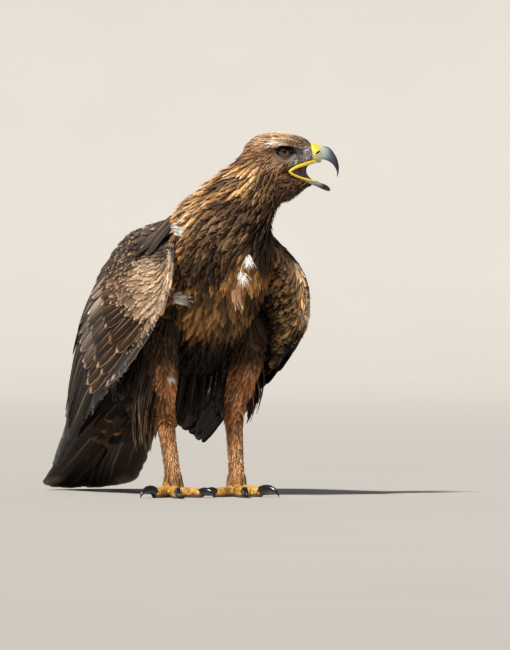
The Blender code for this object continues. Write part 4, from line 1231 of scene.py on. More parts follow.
# a feather's cross section: places across it, and above or below its middle
RING_ACROSS = np.array([-1, -0.5, 0, 0.5, 1, 0.5, 0, -0.5])
RING_OVER = np.array([0, 1, 1, 1, 0, -1, -1, -1])
RING = len(RING_ACROSS)
CELL_MARGIN = 0.04  # free rim of a feather's cell on the baking map


class Plumes:
    """Closed feathers laid one at a time and gathered into one mesh."""

    def __init__(self, seed):
        self.rng = np.random.default_rng(seed)
        self.laid = []

    def lay(
        self, path, side, normal, wide, outline, heart, edge, thick=0.7, camber=0.10, tilt=0.0, torn=0.10
    ):
        """A feather along a path: tilt rolls it about its quill, torn is how deep its notches go."""
        n = len(path)
        s = np.linspace(0, 1, n)
        half = 0.5 * wide * outline(s)
        ragged = np.ones((n, RING))
        for column in (0, RING // 2):
            notch = torn * (self.rng.random(n) < 0.35) * self.rng.uniform(0.2, 1, n)
            ragged[:, column] -= notch * smoothstep((s - 0.15) / 0.3)
        across = RING_ACROSS * ragged
        along = unit(np.gradient(path, axis=0))
        thin = thick * (1.15 - 0.8 * s[:, None])
        over = RING_OVER * thin * (1 - 0.55 * np.abs(RING_ACROSS)) + (RING_ACROSS == 0) * RING_OVER * 0.25
        over = over - camber * half * across**2 - tilt * half * across
        slant = half * 0.35 * np.abs(across) * (s[:, None] < 0.99)
        points = path[:, None] + side[:, None] * (half * across)[..., None]
        points = points + normal[:, None] * over[..., None] + along[:, None] * slant[..., None]
        vane = columns(RING_ACROSS / 2 + 0.5, s[:, None]).reshape(-1, 2)
        fill = lambda colour: np.repeat(np.broadcast_to(colour, (n, 3)), RING, 0)
        chance = np.full(n * RING, self.rng.random())
        self.laid.append((points, vane, fill(heart), fill(edge), chance))

    def gathered(self, name, material):
        feathers, vanes, hearts, edges, chances = zip(*self.laid)
        cells = math.ceil(math.sqrt(len(feathers)))
        faces, spots, start = [], [], 0
        for k, (rings, vane) in enumerate(zip(feathers, vanes)):
            faces += grid_faces(len(rings), RING, start).tolist()
            last = start + RING * (len(rings) - 1)
            faces += [range(start + RING - 1, start - 1, -1), range(last, last + RING)]
            start = last + RING
            corner = np.array([k % cells, k // cells]) + CELL_MARGIN
            spots.append((corner + (1 - 2 * CELL_MARGIN) * vane) / cells)
        points = np.vstack(feathers).reshape(-1, 3)
        mesh = facing_out(mesh_of(name, placed(points), faces))
        add_map(mesh, VANE_MAP, np.vstack(vanes))
        add_map(mesh, BAKE_MAP, np.vstack(spots))
        write_colours(mesh, np.vstack(hearts), np.vstack(edges))
        write_attribute(mesh, "chance", np.concatenate(chances), "FLOAT")
        return new_object(name, mesh, material)


# tier: count; (p, q) of the first root, the last root, the first tip and the last tip; width,
# rise at root and tip, outline, stations, tilt
WING_TIERS = {
    "primary": (7, (0.34, 0.10, 0.34, 0.20, 1.00, 0.12, 0.84, 0.56), 28, (-3.4, -0.8), FLIGHT, 26, 0.05),
    "secondary": (12, (0.36, 0.14, 0.36, 0.80, 0.765, 0.10, 0.76, 0.94), 31, (-0.8, 2.4), FLIGHT, 24, 0.1),
    "tertial": (5, (0.24, 0.70, 0.24, 0.94, 0.67, 0.82, 0.50, 0.97), 30, (0.6, 5.0), FLIGHT, 20, 0.08),
    "greater": (15, (0.24, 0.12, 0.38, 0.86, 0.46, 0.09, 0.53, 0.91), 23, (0.8, 4.0), LANCET, 16, 0.12),
    "wrist": (6, (0.07, 0.02, 0.14, 0.09, 0.33, 0.02, 0.44, 0.11), 15, (0.2, 2.4), LANCET, 14, 0.06),
    "median_b": (16, (0.17, 0.13, 0.32, 0.90, 0.36, 0.11, 0.45, 0.94), 21, (1.4, 5.0), LANCET, 14, 0.12),
    "median_a": (17, (0.10, 0.13, 0.27, 0.91, 0.25, 0.12, 0.37, 0.95), 19, (1.8, 5.8), LANCET, 13, 0.12),
}
# the left wing, folded further: its primaries end sooner, and small feathers hang below its edge
LEFT_TIERS = {
    "primary": (7, (0.34, 0.10, 0.34, 0.20, 0.69, -0.04, 0.84, 0.50), 32.2, (-3.4, -0.8), FLIGHT, 26, 0.05),
    "secondary": (12, (0.36, 0.14, 0.36, 0.80, 0.765, 0.10, 0.82, 0.93), 31, (-0.8, 2.4), FLIGHT, 24, 0.1),
    "hanging": (8, (0.06, 0.14, 0.11, 0.26, 0.16, -0.05, 0.30, -0.08), 20, (-2, -1), COVERT, 14, 0.05),
}
QUILL_STATIONS = 18  # feathers with more stations are thick quills that keep their places


def wing_colours(tier, p, q, sign, rng):
    """Heart and edge of a feather whose tip lies at (p, q)."""
    # pale patch at the rear of the right wing: partly feathers pale with wear, partly painted light
    worn_and_lit = bump(p, 0.46, 0.07) * bump(q, 0.62, 0.25) * (sign == RIGHT) * rng.uniform(0.2, 1.3)
    if tier in ("primary", "hanging"):
        # slate grey in the right wing's primaries is painted sheen; the left wing's stay black
        heart, edge = blend(PITCH, SLATE, 0.15), blend(UMBER, SLATE, 0.7)
        if sign == LEFT:
            heart, edge = PITCH, NIGHT
    elif tier in ("secondary", "tertial"):
        heart, edge = blend(PITCH, UMBER, rng.uniform(0, 0.5)), blend(UMBER, ASH, 0.7 * rng.random() ** 2)
    elif tier == "wrist":
        heart, edge = blend(NIGHT, SLATE, 0.4), blend(ASH, BUFF, rng.uniform(0, 0.6))
    else:
        heart = blend(PITCH, BROWN, rng.uniform(0.0, 0.5))
        edge = blend(blend(TAWNY, SAND, rng.random()), UMBER, 0.8 * (rng.random() < 0.2))
    return blend(heart, blend(ASH, BUFF, 0.4), worn_and_lit * 0.6), blend(edge, WHITE, min(worn_and_lit, 1) * 0.75)


def wing_feathers(name, sign, material):
    """Flight feathers and coverts in tiers, each from its root to its tip on the wing's face."""
    plumes = Plumes(11 if sign == LEFT else 12)
    rng = plumes.rng
    tiers = WING_TIERS | LEFT_TIERS if sign == LEFT else WING_TIERS
    for tier, (count, places, width, rise, outline, stations, tilt) in tiers.items():
        root_a, root_b, tip_a, tip_b = np.reshape(places, (4, 2))
        thick, jitter = (0.9, 0.008) if stations > QUILL_STATIONS else (0.8, 0.013)
        s = np.linspace(0, 1, stations)
        for share in np.linspace(0, 1, count):
            loose = rng.normal(size=2) * jitter * (0 < share < 1)
            root = root_a + (root_b - root_a) * share
            tip = tip_a + (tip_b - tip_a) * share + loose * (1, 1.2)
            p, q = (root[k] + (tip[k] - root[k]) * s for k in (0, 1))
            normal = wing_normal(p, np.clip(q, 0.02, 0.98), sign)
            lift = rise[0] + (rise[1] - rise[0]) * s + rng.uniform(-0.5, 0.5) + rng.uniform(-0.6, 1.2) * s**2
            path = wing_point(p, q, sign) + normal * lift[:, None]
            side = unit(np.cross(normal, unit(np.gradient(path, axis=0))))
            trailing = wing_point(p, q + 0.01, sign) - wing_point(p, q - 0.01, sign)
            side *= np.sign((side * trailing).sum(-1, keepdims=True))
            heart, edge = wing_colours(tier, *tip, sign, rng)
            wide = width * rng.uniform(0.85, 1.12)
            plumes.lay(path, side, normal, wide, outline, heart, edge, thick, tilt=tilt, torn=0.16)
    lay_rim(plumes, sign)
    return plumes.gathered(name, material)


def lay_rim(plumes, sign):
    """Small coverts down the wing's front rim, wrapped round it from the outer to the inner face."""
    rng = plumes.rng
    for q in np.linspace(0.98, 0.06, 26):
        for turn in (-40, 5, 45):
            at = np.clip(q + rng.uniform(-0.015, 0.015), 0, 1)
            back = unit(wing_point(0.03, at, sign) - wing_point(0, at, sign))
            turn = math.radians(turn + rng.normal() * 8)
            out = unit(wing_normal(0.01, min(at, 0.98), sign) * math.sin(turn) - back * math.cos(turn))
            root = wing_point(0.012, at, sign) + out * 1.0
            fall = unit(wing_point(0.012, max(at - 0.1, 0), sign) - wing_point(0.012, at, sign))
            fall = unit(fall - UP * 0.4 + back * 0.9 * abs(math.sin(turn))) * rng.uniform(11, 15)
            heart, edge = blend(DUSK, SAND, 0.7 * rng.random()), blend(BUFF, CREAM, rng.random())
            if sign == LEFT:
                heart, edge = blend(UMBER, TAWNY, rng.random()), blend(TAWNY, CREAM, rng.random())
            hang(plumes, root, fall, out, rng.uniform(7, 9), COVERT, heart, edge, 0.08, torn=0.1, stations=8)


CORE_END, CORE_VOXEL = 0.60, 2.2


def wing_core(name, sign):
    """Arm and feather bases: a shell that thins out under the coverts' tips."""
    rings, q = [], np.linspace(0.0, 1.0, 40)
    edge = np.sqrt(np.clip(1 - (2 * q - 1) ** 6, 0, 1))[:, None]
    for p in np.linspace(0.0, CORE_END, 60):
        point, normal = wing_point(p, q, sign), wing_normal(p, q, sign)
        fade = 1 - smoothstep((p - 0.30) / (CORE_END - 0.26))
        front = math.sqrt(min(1, (p + 0.004) / 0.10))
        top = point + normal * (2.4 * fade * front * edge - 0.6 * (1 - edge) + 0.1)
        low = point - normal * ((3.5 + 8.0 * fade) * front * edge + 0.3)
        rings.append(np.vstack([top, low[::-1]]))
    return melded(name, [rings], CORE_VOXEL, smooth=0)


def wing_samples(sign):
    """Points over the wing with the way that its plumage lies, and their p and q."""
    p, q = np.meshgrid(np.linspace(0, CORE_END + 0.02, 60), np.linspace(0, 1, 50), indexing="ij")
    points, ahead = wing_point(p, q, sign), wing_point(p + 0.01, q, sign)
    return np.concatenate([points, unit(ahead - points), columns(p, q)], -1).reshape(-1, 8)


def arm_colours(points, p, q, inner, front):
    """Heart and edge colours of the small coverts: dark and gold inside, fringed with buff outside."""
    fine, patchy = wander(points, 22, 5), wander(points, 50, 6)
    speck = sharper(wander(points, 7, 7))
    gold = smoothstep((0.25 - p) / 0.10) * smoothstep((q - 0.02) / 0.10) * inner
    fleck = 0.5 * speck**3 * smoothstep((0.45 - p) / 0.1)
    dark = pair(blend(PITCH, NIGHT, fine), blend(PITCH, UMBER, patchy * speck))
    golden = pair(blend(BROWN, GOLD, speck), blend(GOLD, CREAM, 0.5 + 0.5 * fine))
    colours = blend(dark, golden, (gold, np.maximum(gold * (0.5 + 0.5 * speck), fleck)))

    shoulder = smoothstep((0.46 - p) / 0.08) * (1 - inner)
    rear = smoothstep((q - 0.55) / 0.22)
    cream = np.maximum(smoothstep((0.80 - q) / 0.2), front) * smoothstep((0.14 - p) / 0.07)
    fringe = blend(blend(TAWNY, BUFF, 0.3 + 0.7 * speck), CREAM, cream * (0.6 + 0.4 * fine))
    coverts = pair(
        blend(blend(UMBER, DUSK, 0.7 * fine), NIGHT, 0.85 * rear),
        blend(fringe, blend(UMBER, SLATE, fine), rear * (1 - 0.6 * speck)),
    )
    colours = blend(colours, coverts, shoulder)
    sandy = (0.3 + 0.35 * speck) * shoulder * smoothstep((0.15 - p) / 0.07) * (1 - rear)
    colours[0] = blend(colours[0], SAND, sandy)
    # dark along the leading edge beyond the wrist, with slate grey as a painted sheen
    margin = smoothstep((p - 0.16) / 0.05) * smoothstep((0.12 - q) / 0.04) * (1 - inner)
    colours = blend(colours, pair(blend(NIGHT, SLATE, 0.7), blend(UMBER, ASH, 0.5)), margin)
    orange = bump(p, 0.24, 0.05) * bump(q, 0.12, 0.12) * inner
    colours = blend(colours, pair(RUSSET, blend(TAWNY, GOLD, fine)), orange * speck)
    high = smoothstep((0.12 - p) / 0.06) * smoothstep((q - 0.25) / 0.3) * inner * (0.3 + 0.7 * speck)
    return blend(colours, pair(SAND, CREAM), (0.7 * high, high))


def mark_wing(core, sign):
    """Plumage fields on the wing's shell, its inner face and leading edge above all."""
    mesh = core.data
    points = unplaced(coordinates(mesh))
    samples = read_at(wing_samples(sign), points)
    p, q = samples[:, 6], samples[:, 7]
    out = unit(evened(mesh, normals(mesh), 3))
    outward = wing_normal(p, np.clip(q, 0.02, 0.98), sign)
    facing = (out * outward).sum(1)
    forward = -(out * unit(wing_point(p + 0.02, q, sign) - wing_point(p, q, sign))).sum(1)
    rim = np.maximum(smoothstep(forward / 0.3), smoothstep((0.06 - p) / 0.05))[:, None]
    lie = samples[:, 3:6] * (1 - 0.85 * rim) + rim * (0.3 * outward - 1.2 * UP)
    lie = along_surface(evened(mesh, lie, 4), out)
    colours = arm_colours(points, p, q, smoothstep(-facing * 3), smoothstep(forward / 0.6))
    small = smoothstep((0.26 - p - 0.1 * (q - 0.5)) / 0.26)
    size = columns(12.5 - 4.0 * small, 27 - 10 * small, 4.2 - 1.8 * small)
    strip = 0.13 - 0.09 * smoothstep((p - 0.08) / 0.1) - 0.3 * (p > 0.2)
    cover = np.where((facing > 0.35) & (p > 0.06 + 0.28 * q) & (q > strip), 0, 1.0)
    write_plumage(mesh, out, lie, *colours, size, cover)


RECTRICES = 12
# tail coverts: above (1) or below (-1) the tail, count, length, rise at root and tip
TAIL_TIERS = [
    (1, 8, 190, (7, 15)),
    (1, 7, 150, (12, 24)),
    (1, 6, 110, (14, 24)),
    (-1, 9, 150, (-17, -9.5)),
    (-1, 8, 118, (-20, -14)),
    (-1, 8, 90, (-22, -19)),
]
# rings of the tail's base: distance along it, half width, height above and below its middle
TAIL_STUMP = [(-16, 30, 12, 20), (10, 40, 12, 23), (45, 45, 8, 22), (85, 44, 4, 13), (120, 40, 1, 5)]


def tail_path(out, start, length, lift, stations):
    """Feather path fanned from the tail's root: out runs from -1 to 1, lift is the rise at each end."""
    s = np.linspace(0, 1, stations)[:, None]
    fan = FAN * out
    heading = TAIL_ALONG * math.cos(fan) + TAIL_SIDE * math.sin(fan)
    across = TAIL_SIDE * math.cos(fan) - TAIL_ALONG * math.sin(fan)
    root = TAIL_ROOT + TAIL_SIDE * TAIL_BASE * out
    path = root + (start + length * s) * heading + (lift[0] + (lift[1] - lift[0]) * s) * TAIL_UP
    return path, np.tile(across, (stations, 1)), np.tile(TAIL_UP, (stations, 1))


def tail_feathers(name, material):
    """Twelve tail feathers, the middle ones on top, with their coverts above and below."""
    plumes = Plumes(21)
    rng = plumes.rng
    length = np.linalg.norm(TAIL_TIP - TAIL_ROOT)
    middle = (RECTRICES - 1) / 2
    for k in sorted(range(RECTRICES), key=lambda k: -abs(k - middle)):
        out = (k - middle) / middle
        depth = -1.0 - 7.5 * abs(out)
        reach = length * (1 - 0.05 * out * out) - 14 + rng.uniform(-2, 1)
        path, across, normal = tail_path(out, 14, reach, (depth * 0.6, depth), 26)
        heart = blend(UMBER, ASH, rng.uniform(0.05, 0.2))
        edge = blend(UMBER, BUFF, 0.5 if abs(out) == 1 else rng.uniform(0.1, 0.3))
        plumes.lay(path, across, normal, 46, FLIGHT, heart, edge, 0.9, tilt=0.03 * np.sign(out))
    for upward, count, reach, lift in TAIL_TIERS:
        for out in np.linspace(-1, 1, count):
            loose = rng.uniform(0.94, 1.04)
            path, across, normal = tail_path(1.1 * out, 6, reach * (1 - 0.15 * abs(out)) * loose, lift, 14)
            path = path - normal * (2.2 * abs(out)) * upward
            heart, edge = blend(NIGHT, UMBER, rng.random()), blend(UMBER, TAWNY, 0.7 * rng.random() ** 2)
            plumes.lay(path, across * upward, normal * upward, 30, COVERT, heart, edge, 0.8, camber=0.16)
    for rings, *_ in plumes.laid:
        low = rings[..., 2].min(1)
        rings[..., 2] += np.maximum(0, 0.2 - low)[:, None]
    return plumes.gathered(name, material)


def tail_core(name, material):
    """The tail's fleshy base, thinning out between the feathers."""
    c, s = np.cos(TURN)[:, None], np.sin(TURN)[:, None]
    rings = [
        TAIL_ROOT + TAIL_ALONG * at + wide * c * TAIL_SIDE + (np.where(s > 0, over, under) * s - 3) * TAIL_UP
        for at, wide, over, under in TAIL_STUMP
    ]
    return tubes_object(name, [rings], material)


def hang(plumes, root, fall, out, wide, outline, heart, edge, bow=0.10, mirror=1, torn=0.3, stations=14):
    """Lays one loose feather from its root along fall, bowed outwards."""
    s = np.linspace(0, 1, stations)[:, None]
    path = root + fall * s + out * (bow * np.linalg.norm(fall) * np.sin(math.pi * 0.75 * s))
    along = unit(np.gradient(path, axis=0))
    normal = unit(out - along * (along * out).sum(-1, keepdims=True))
    turned = np.array([mirror, 1, 1])
    across = np.cross(normal, along) * turned
    plumes.lay(path * turned, across, normal * turned, wide, outline, heart, edge, 0.6, 0.14, torn=torn)


# tier of trouser feathers: knot of the roots, count, length, how far they stand off, how far back
TROUSERS = {
    LEFT: ((0.50, 10, 66, 10, 14), (0.66, 10, 58, 10, 16), (0.80, 10, 50, 8, 16)),
    RIGHT: ((0.44, 11, 96, 8, 28), (0.56, 11, 104, 16, 28), (0.66, 11, 104, 12, 26), (0.80, 9, 66, 9, 18)),
}


def lay_trousers(plumes, sign):
    """Long loose feathers down the outer side and back of the leg."""
    rng = plumes.rng
    for knot, count, length, stand, back in TROUSERS[sign]:
        for k in range(count):
            turn = math.radians(-25 + 155 * k / (count - 1) + rng.normal() * 4)
            x, y, z, across, deep = THIGH(knot + rng.uniform(-0.03, 0.03))
            out = np.array([math.cos(turn), math.sin(turn), 0])
            root = np.array([x, y, z]) + out * (across - 4, deep - 4, 0)
            length_here = length * rng.uniform(0.72, 1.03)
            fall = np.array([-2.0, back, -length]) / length * length_here
            heart = blend(NIGHT, UMBER, rng.random())
            edge = blend(blend(UMBER, BROWN, rng.random()), SAND, 0.9 * rng.random() ** 2)
            hang(plumes, root, fall, out, rng.uniform(9, 15), POINTED, heart, edge, stand / length, sign, 0.5)


def lay_ankle(plumes, sign):
    """Small feathers that hang from the shank's end over the top of the foot."""
    rng = plumes.rng
    for row in range(3):
        for turn in TURN[::2] + 0.1 * row:
            root, inside = (leg_point(TARSUS, 0.88 + 0.05 * row, turn, sign, depth) for depth in (-1.2, -5))
            fall = -UP * rng.uniform(11, 18)
            heart, edge = blend(TAWNY, BROWN, rng.random()), blend(SAND, BROWN, rng.random())
            out, wide = unit(root - inside), rng.uniform(3.5, 5)
            hang(plumes, root, fall, out, wide, POINTED, heart, edge, 0.14, stations=8)


def lay_scapulars(plumes, sign):
    """Feathers from the shoulder over the gap between the back and the folded wing."""
    rng = plumes.rng
    for row in range(13):
        for column in range(5):
            r, c = row / 12 + rng.uniform(-0.03, 0.03), column / 4
            phi = math.radians(70 - 40 * c + rng.normal() * 2)
            root = trunk_point(1.16 - 0.46 * r, math.pi - phi if sign == RIGHT else phi, -2.0)
            spot = (0.08 + 0.30 * r, 0.97 - 0.22 * c, sign)
            goal = wing_point(*spot) + wing_normal(*spot) * 8 + UP * 2
            fall = unit(goal - root) * rng.uniform(44, 56) + TRUNK_BACK * 12
            heart = blend(blend(PITCH, SLATE, 0.4), UMBER, rng.random())
            edge = blend(BROWN, BUFF, rng.random() ** 1.5)
            out = unit(np.array([sign * 0.45, -0.1, 0.88]))
            hang(plumes, root, fall, out, rng.uniform(23, 30), COVERT, heart, edge, 0.05, torn=0.15)


def lay_vent(plumes):
    """Loose dark feathers from the belly and flanks over the roots of legs and tail, their black partly
    painted shade.
    """
    rng = plumes.rng
    for t in (0.50, 0.42, 0.34, 0.26, 0.18, 0.10, 0.03):
        for turn in np.linspace(-98, 98, 21):
            phi = math.radians(270 + turn + rng.normal() * 3)
            root = trunk_point(t + rng.uniform(-0.02, 0.02), phi, -6.0)
            down = t / 0.5
            fall = (TAIL_ALONG * (1 - down) + np.array([0, 0.42, -0.9]) * down) * rng.uniform(50, 74)
            fall = fall * (1 - 0.25 * down * abs(turn) / 98)
            out = unit(np.array([math.cos(phi), -0.25, math.sin(phi)]))
            # near-black hearts: dark feathers, darkened further as painted shade under the belly
            heart, edge = PITCH, blend(NIGHT, blend(UMBER, RUSSET, 0.3 * (1 - down)), rng.random())
            hang(plumes, root, fall, out, rng.uniform(13, 19), LANCET, heart, edge, 0.08)


# tuft: distance to the left of the line of sight, height, heading in degrees, length, heart and edge
TUFTS = [
    (-40, 350, -6, 22, WHITE, WHITE),
    (-36, 344, -12, 19, WHITE, WHITE),
    (55, 309, -84, 16, WHITE, WHITE),
    (46, 289, -78, 18, WHITE, WHITE),
    (-38, 260, -4, 26, WHITE, WHITE),
    (-47, 156, -60, 11, WHITE, WHITE),
    (39, 268, -82, 25, RUSSET, CREAM),
]
DOWNY = 18  # broad soft feathers at the base of each white tuft


def lay_tufts(plumes, points):
    """Tufts of white down that show through the breast, each starting from the skin's front."""
    rng = plumes.rng
    aside, depth = points @ VIEW_RIGHT, points @ VIEW_AHEAD
    for at, high, heading, length, heart, edge in TUFTS:
        near = np.hypot(aside - at, points[:, 2] - high) < 6
        front = depth[near].min() - 4.6
        white = heart is WHITE
        count, spread, widths = (70, 34, (0.4, 1.2)) if white else (9, 13, (3, 5))
        for k in range(count):
            turn = math.radians(heading + rng.uniform(-1, 1) * spread)
            spot = np.array([at, high]) + rng.normal(size=2) * 0.11 * length
            start = VIEW_RIGHT * spot[0] + VIEW_AHEAD * (front - 0.03 * k) + UP * spot[1]
            fall = (VIEW_RIGHT * math.cos(turn) + UP * math.sin(turn)) * length * rng.uniform(0.35, 1.1)
            wide = rng.uniform(*widths)
            if white and k < DOWNY:
                fall, wide = fall * 0.55, rng.uniform(2.5, 0.3 * length)
            hang(plumes, start, fall, -VIEW_AHEAD, wide, POINTED, heart, edge, 0.10, torn=0.6, stations=7)


# ---- bill, mouth and eyes

def swept_rings(path, radii, sides=24, flat=1.0, up=UP, floor=None):
    """Rings around a path: flat stretches them sideways, floor is the lowest height they reach."""
    path = np.asarray(path, float)
    along = unit(np.gradient(path, axis=0))
    across = unit(np.cross(along, up))
    over = np.cross(across, along)
    w = circle(sides)
    rings = across[:, None] * np.cos(w)[:, None] * flat + over[:, None] * np.sin(w)[:, None]
    rings = path[:, None] + rings * np.reshape(radii, (-1, 1, 1))
    if floor is not None:
        rings[..., 2] = np.maximum(rings[..., 2], floor)
    return rings


def finer(rows, count):
    """Points along a smooth curve through rows."""
    rows = np.asarray(rows, float).reshape(len(rows), -1)
    steps = np.linspace(0, 1, len(rows))
    return Spline(np.column_stack([steps, rows]))(np.linspace(0, 1, count))


def jaw_rings(spline, stations, sides=AROUND, **shape):
    """Rings of a jaw from its first knot to its last."""
    knots = np.linspace(spline.knots[0], spline.knots[-1], stations)
    return profile_point(spline, *np.meshgrid(knots, circle(sides), indexing="ij"), **shape)


def jaw(name, spline, stations, material, **shape):
    """A jaw's sheath; its knot runs along it and its height across, for the finish."""
    rings = jaw_rings(spline, stations, **shape)
    obj = tubes_object(name, [rings], material)
    run = columns(np.linspace(0, 1, stations)[:, None], np.sin(TURN), 0).reshape(-1, 3)
    write_attribute(obj.data, "run", np.vstack([run, (0, 0, 0), (1, 0, 0)]))
    return obj


LOWER_LIP = [  # ahead of, out from and above EYE_LEVEL
    (5.5, 24.6, -24.4),
    (11.0, 22.6, -28.4),
    (19.0, 19.0, -31.8),
    (28.0, 14.6, -34.4),
    (36.0, 10.8, -36.0),
    (43.0, 8.2, -37.2),
]


def make_cere(material):
    """Cere with the nostrils, and the fleshy lips of both jaws meeting at the gape."""
    rings = jaw_rings(CERE, 60, sides=96, square=0.6)
    ahead, left, up = in_head(rings)
    a, u = ahead - NOSTRIL[0], up - NOSTRIL[1]
    lean_a, lean_u = NOSTRIL_LEAN
    along, across = a * lean_a + u * lean_u, a * lean_u - u * lean_a
    oval = np.hypot(along / 3.9, across / 1.25)
    outer = np.abs(left) > 4
    push = -2.8 * smoothstep((1.05 - oval) / 0.5) + 0.55 * bump(oval, 1.35, 0.3)
    swell = 0.8 * bump(np.hypot(along, across), 0, 5.5)
    rings = rings + (np.sign(left) * (push + swell) * outer)[..., None] * HEAD_LEFT
    feathered = smoothstep((34.2 + 0.22 * (12 - up) - ahead) / 1.2)
    # the nostril's slit, later painted near black as shade in its hollow
    slit = smoothstep((1.1 - oval) / 0.3) * outer
    pale = smoothstep((ahead - 41.5 - 0.42 * up) / 2.5) + 0.3 * bump(oval, 1.9, 0.7)
    tint = columns(feathered, slit, np.clip(pale, 0, 1)).reshape(-1, 3)
    tubes = [rings]
    for sign in (LEFT, RIGHT):
        for lip, aside, radii, steps in (
            (GAPE_LIP, 0.0, (1.3, 2.0, 2.3, 2.2, 1.4), 40),
            (LOWER_LIP, 0.6, (1.3, 1.5, 1.6, 1.6, 1.4, 0.5), 44),
        ):
            line = finer([head_at(a, sign * (o + aside), u) for a, o, u in lip], steps)
            tubes.append(swept_rings(line, finer(radii, steps), 20, 0.8))
    cere = tubes_object("cere_lips", tubes, material)
    field = np.zeros((len(cere.data.vertices), 3))
    field[: len(tint)] = tint
    write_attribute(cere.data, "tint", field)
    return cere


MOUTH = Spline([
    (0, 2.0, -19.0, 2.0, -30.0, 20.5),
    (1, 12.0, -16.5, 13.0, -32.0, 19.5),
    (2, 23.0, -12.5, 25.0, -35.0, 15.0),
    (3, 34.5, -10.5, 38.0, -37.0, 10.5),
])
THROAT = Spline([
    (0, 33.5, -11.5, 37.0, -36.2, 9.5),
    (1, 24.0, -14.5, 25.0, -33.0, 11.5),
    (2, 14.0, -20.0, 14.0, -29.0, 9.0),
    (3, 6.0, -22.0, 6.0, -27.0, 3.0),
])
TONGUE = Spline([
    (0, 14.0, -26.0, 14.0, -29.6, 7.0),
    (1, 24.0, -30.0, 24.0, -33.0, 6.0),
    (2, 30.0, -32.2, 30.0, -34.4, 4.6),
    (3, 34.5, -33.8, 34.5, -35.2, 1.2),
])


def make_mouth(material):
    """The mouth's lining: the web between the jaws, its edge drawn back, and the throat inside."""
    rings = np.concatenate([jaw_rings(MOUTH, 40, square=0.8), jaw_rings(THROAT, 24, square=0.8)])
    ahead, _, up = in_head(rings)
    level = (up + 24) / 12
    front = smoothstep((ahead - 16) / 16)
    drawn = -8.5 * np.clip(1 - level**2, 0, 1) * front
    rings = rings + drawn[..., None] * BILL_AIM
    return tubes_object("mouth_web", [rings], material)


def make_tongue(material):
    rings = jaw_rings(TONGUE, 30, trough=0.5)
    return tubes_object("tongue_flesh", [rings], material)


EYE_SIDES, LID_SIDES, BEADS = 64, 180, 57


def make_eyeball(name, sign, material):
    """Ball with a bulging cornea; its field holds the direction round the pupil and the distance."""
    w = circle(EYE_SIDES)
    rings, field = [], []
    for angle in np.linspace(0.02, np.pi - 0.4, 48):
        ring, out = EYE_RADIUS * math.sin(angle), EYE_RADIUS * math.cos(angle)
        out += 0.9 * bump(angle, 0, 0.55)
        rings.append(head_at(ring * np.cos(w), sign * (EYE_OUT + out), ring * np.sin(w)))
        field.append(columns(np.cos(w), np.sin(w), ring))
    ball = tubes_object(name, [rings], material)
    write_attribute(ball.data, "iris", np.vstack([*field, (0, 0, 0), (0, 0, EYE_RADIUS)]))
    return ball


LID_REACH = np.array([0.0, 0.4, 0.9, 1.4, 1.8, 2.3, 2.9, 3.8, 5.6])  # outwards from the opening
LID_RISE = np.array([0.1, 0.6, 0.7, 0.1, 0.5, 0.5, 0.0, 0.3, -0.4])


def make_lids(name, sign, material):
    """Rim round the eye's opening: a smooth edge, a row of beads and an outer fold."""
    opening = finer(OPENING, LID_SIDES + 1)[:-1]
    along = unit(np.roll(opening, -1, 0) - np.roll(opening, 1, 0))
    outward = columns(-along[:, 1], along[:, 0])
    outward *= np.sign((outward * opening).sum(1, keepdims=True))
    outward = unit(outward + 0.35 * unit(opening))
    ball = np.sqrt(np.maximum(EYE_RADIUS**2 - (opening**2).sum(1), 0)) + EYE_OUT
    base, upper = np.maximum(ball, 26.2), smoothstep((opening @ (0.12, 1.0) + 1.2) / 3)
    beads = 0.5 + 0.5 * np.cos(np.arange(LID_SIDES) / LID_SIDES * 2 * np.pi * BEADS)
    tops, lows, field = [], [], []
    for reach, rise in zip(LID_REACH, LID_RISE):
        spot = opening + outward * reach * (1 - 0.25 * upper[:, None])
        out = base + (26.0 - base) * smoothstep(reach / LID_REACH[-1])
        out = out + rise - 0.4 * bump(reach, 2.0, 0.5) * beads
        tops.append(head_at(spot[:, 0], sign * out, spot[:, 1]))
        lows.append(head_at(spot[:, 0], sign * (out - 1.4), spot[:, 1]))
        field.append(columns(reach / LID_REACH[-1], upper, beads))
    rings = np.stack(tops + lows[::-1])
    quads = grid_faces(len(rings) + 1, LID_SIDES) % (len(rings) * LID_SIDES)
    mesh = facing_out(mesh_of(name, placed(rings.reshape(-1, 3)), quads))
    write_attribute(mesh, "rim", np.concatenate(field + field[::-1]))
    return new_object(name, mesh, material)


# ---- feet and claws

def toe_line(sign, toe):
    """Root of a toe on the floor, its direction and its length."""
    turn, length, *_ = TOES[toe]
    heading = FOOT_HEADING + sign * math.radians(turn)
    direction = np.array([math.sin(heading), -math.cos(heading), 0])
    return np.array([sign * FOOT_TOP[0], FOOT_TOP[1], 0]), direction, length


# height and half width of the foot's pad, and the toes' thickness along them
FOOT_PAD = [(0.0, 12.3), (2.0, 14.2), (5.0, 14.8), (10.0, 13.4), (16.0, 12.0), (21.0, 11.2)]
KNUCKLES = Spline([(0, 1.0), (0.25, 1.04), (0.5, 0.96), (0.75, 1.06), (0.93, 0.96), (1, 0.66)])
FOOT_VOXEL, PAD_TOP, PAD_SCUTE = 0.95, 11.5, 3.3


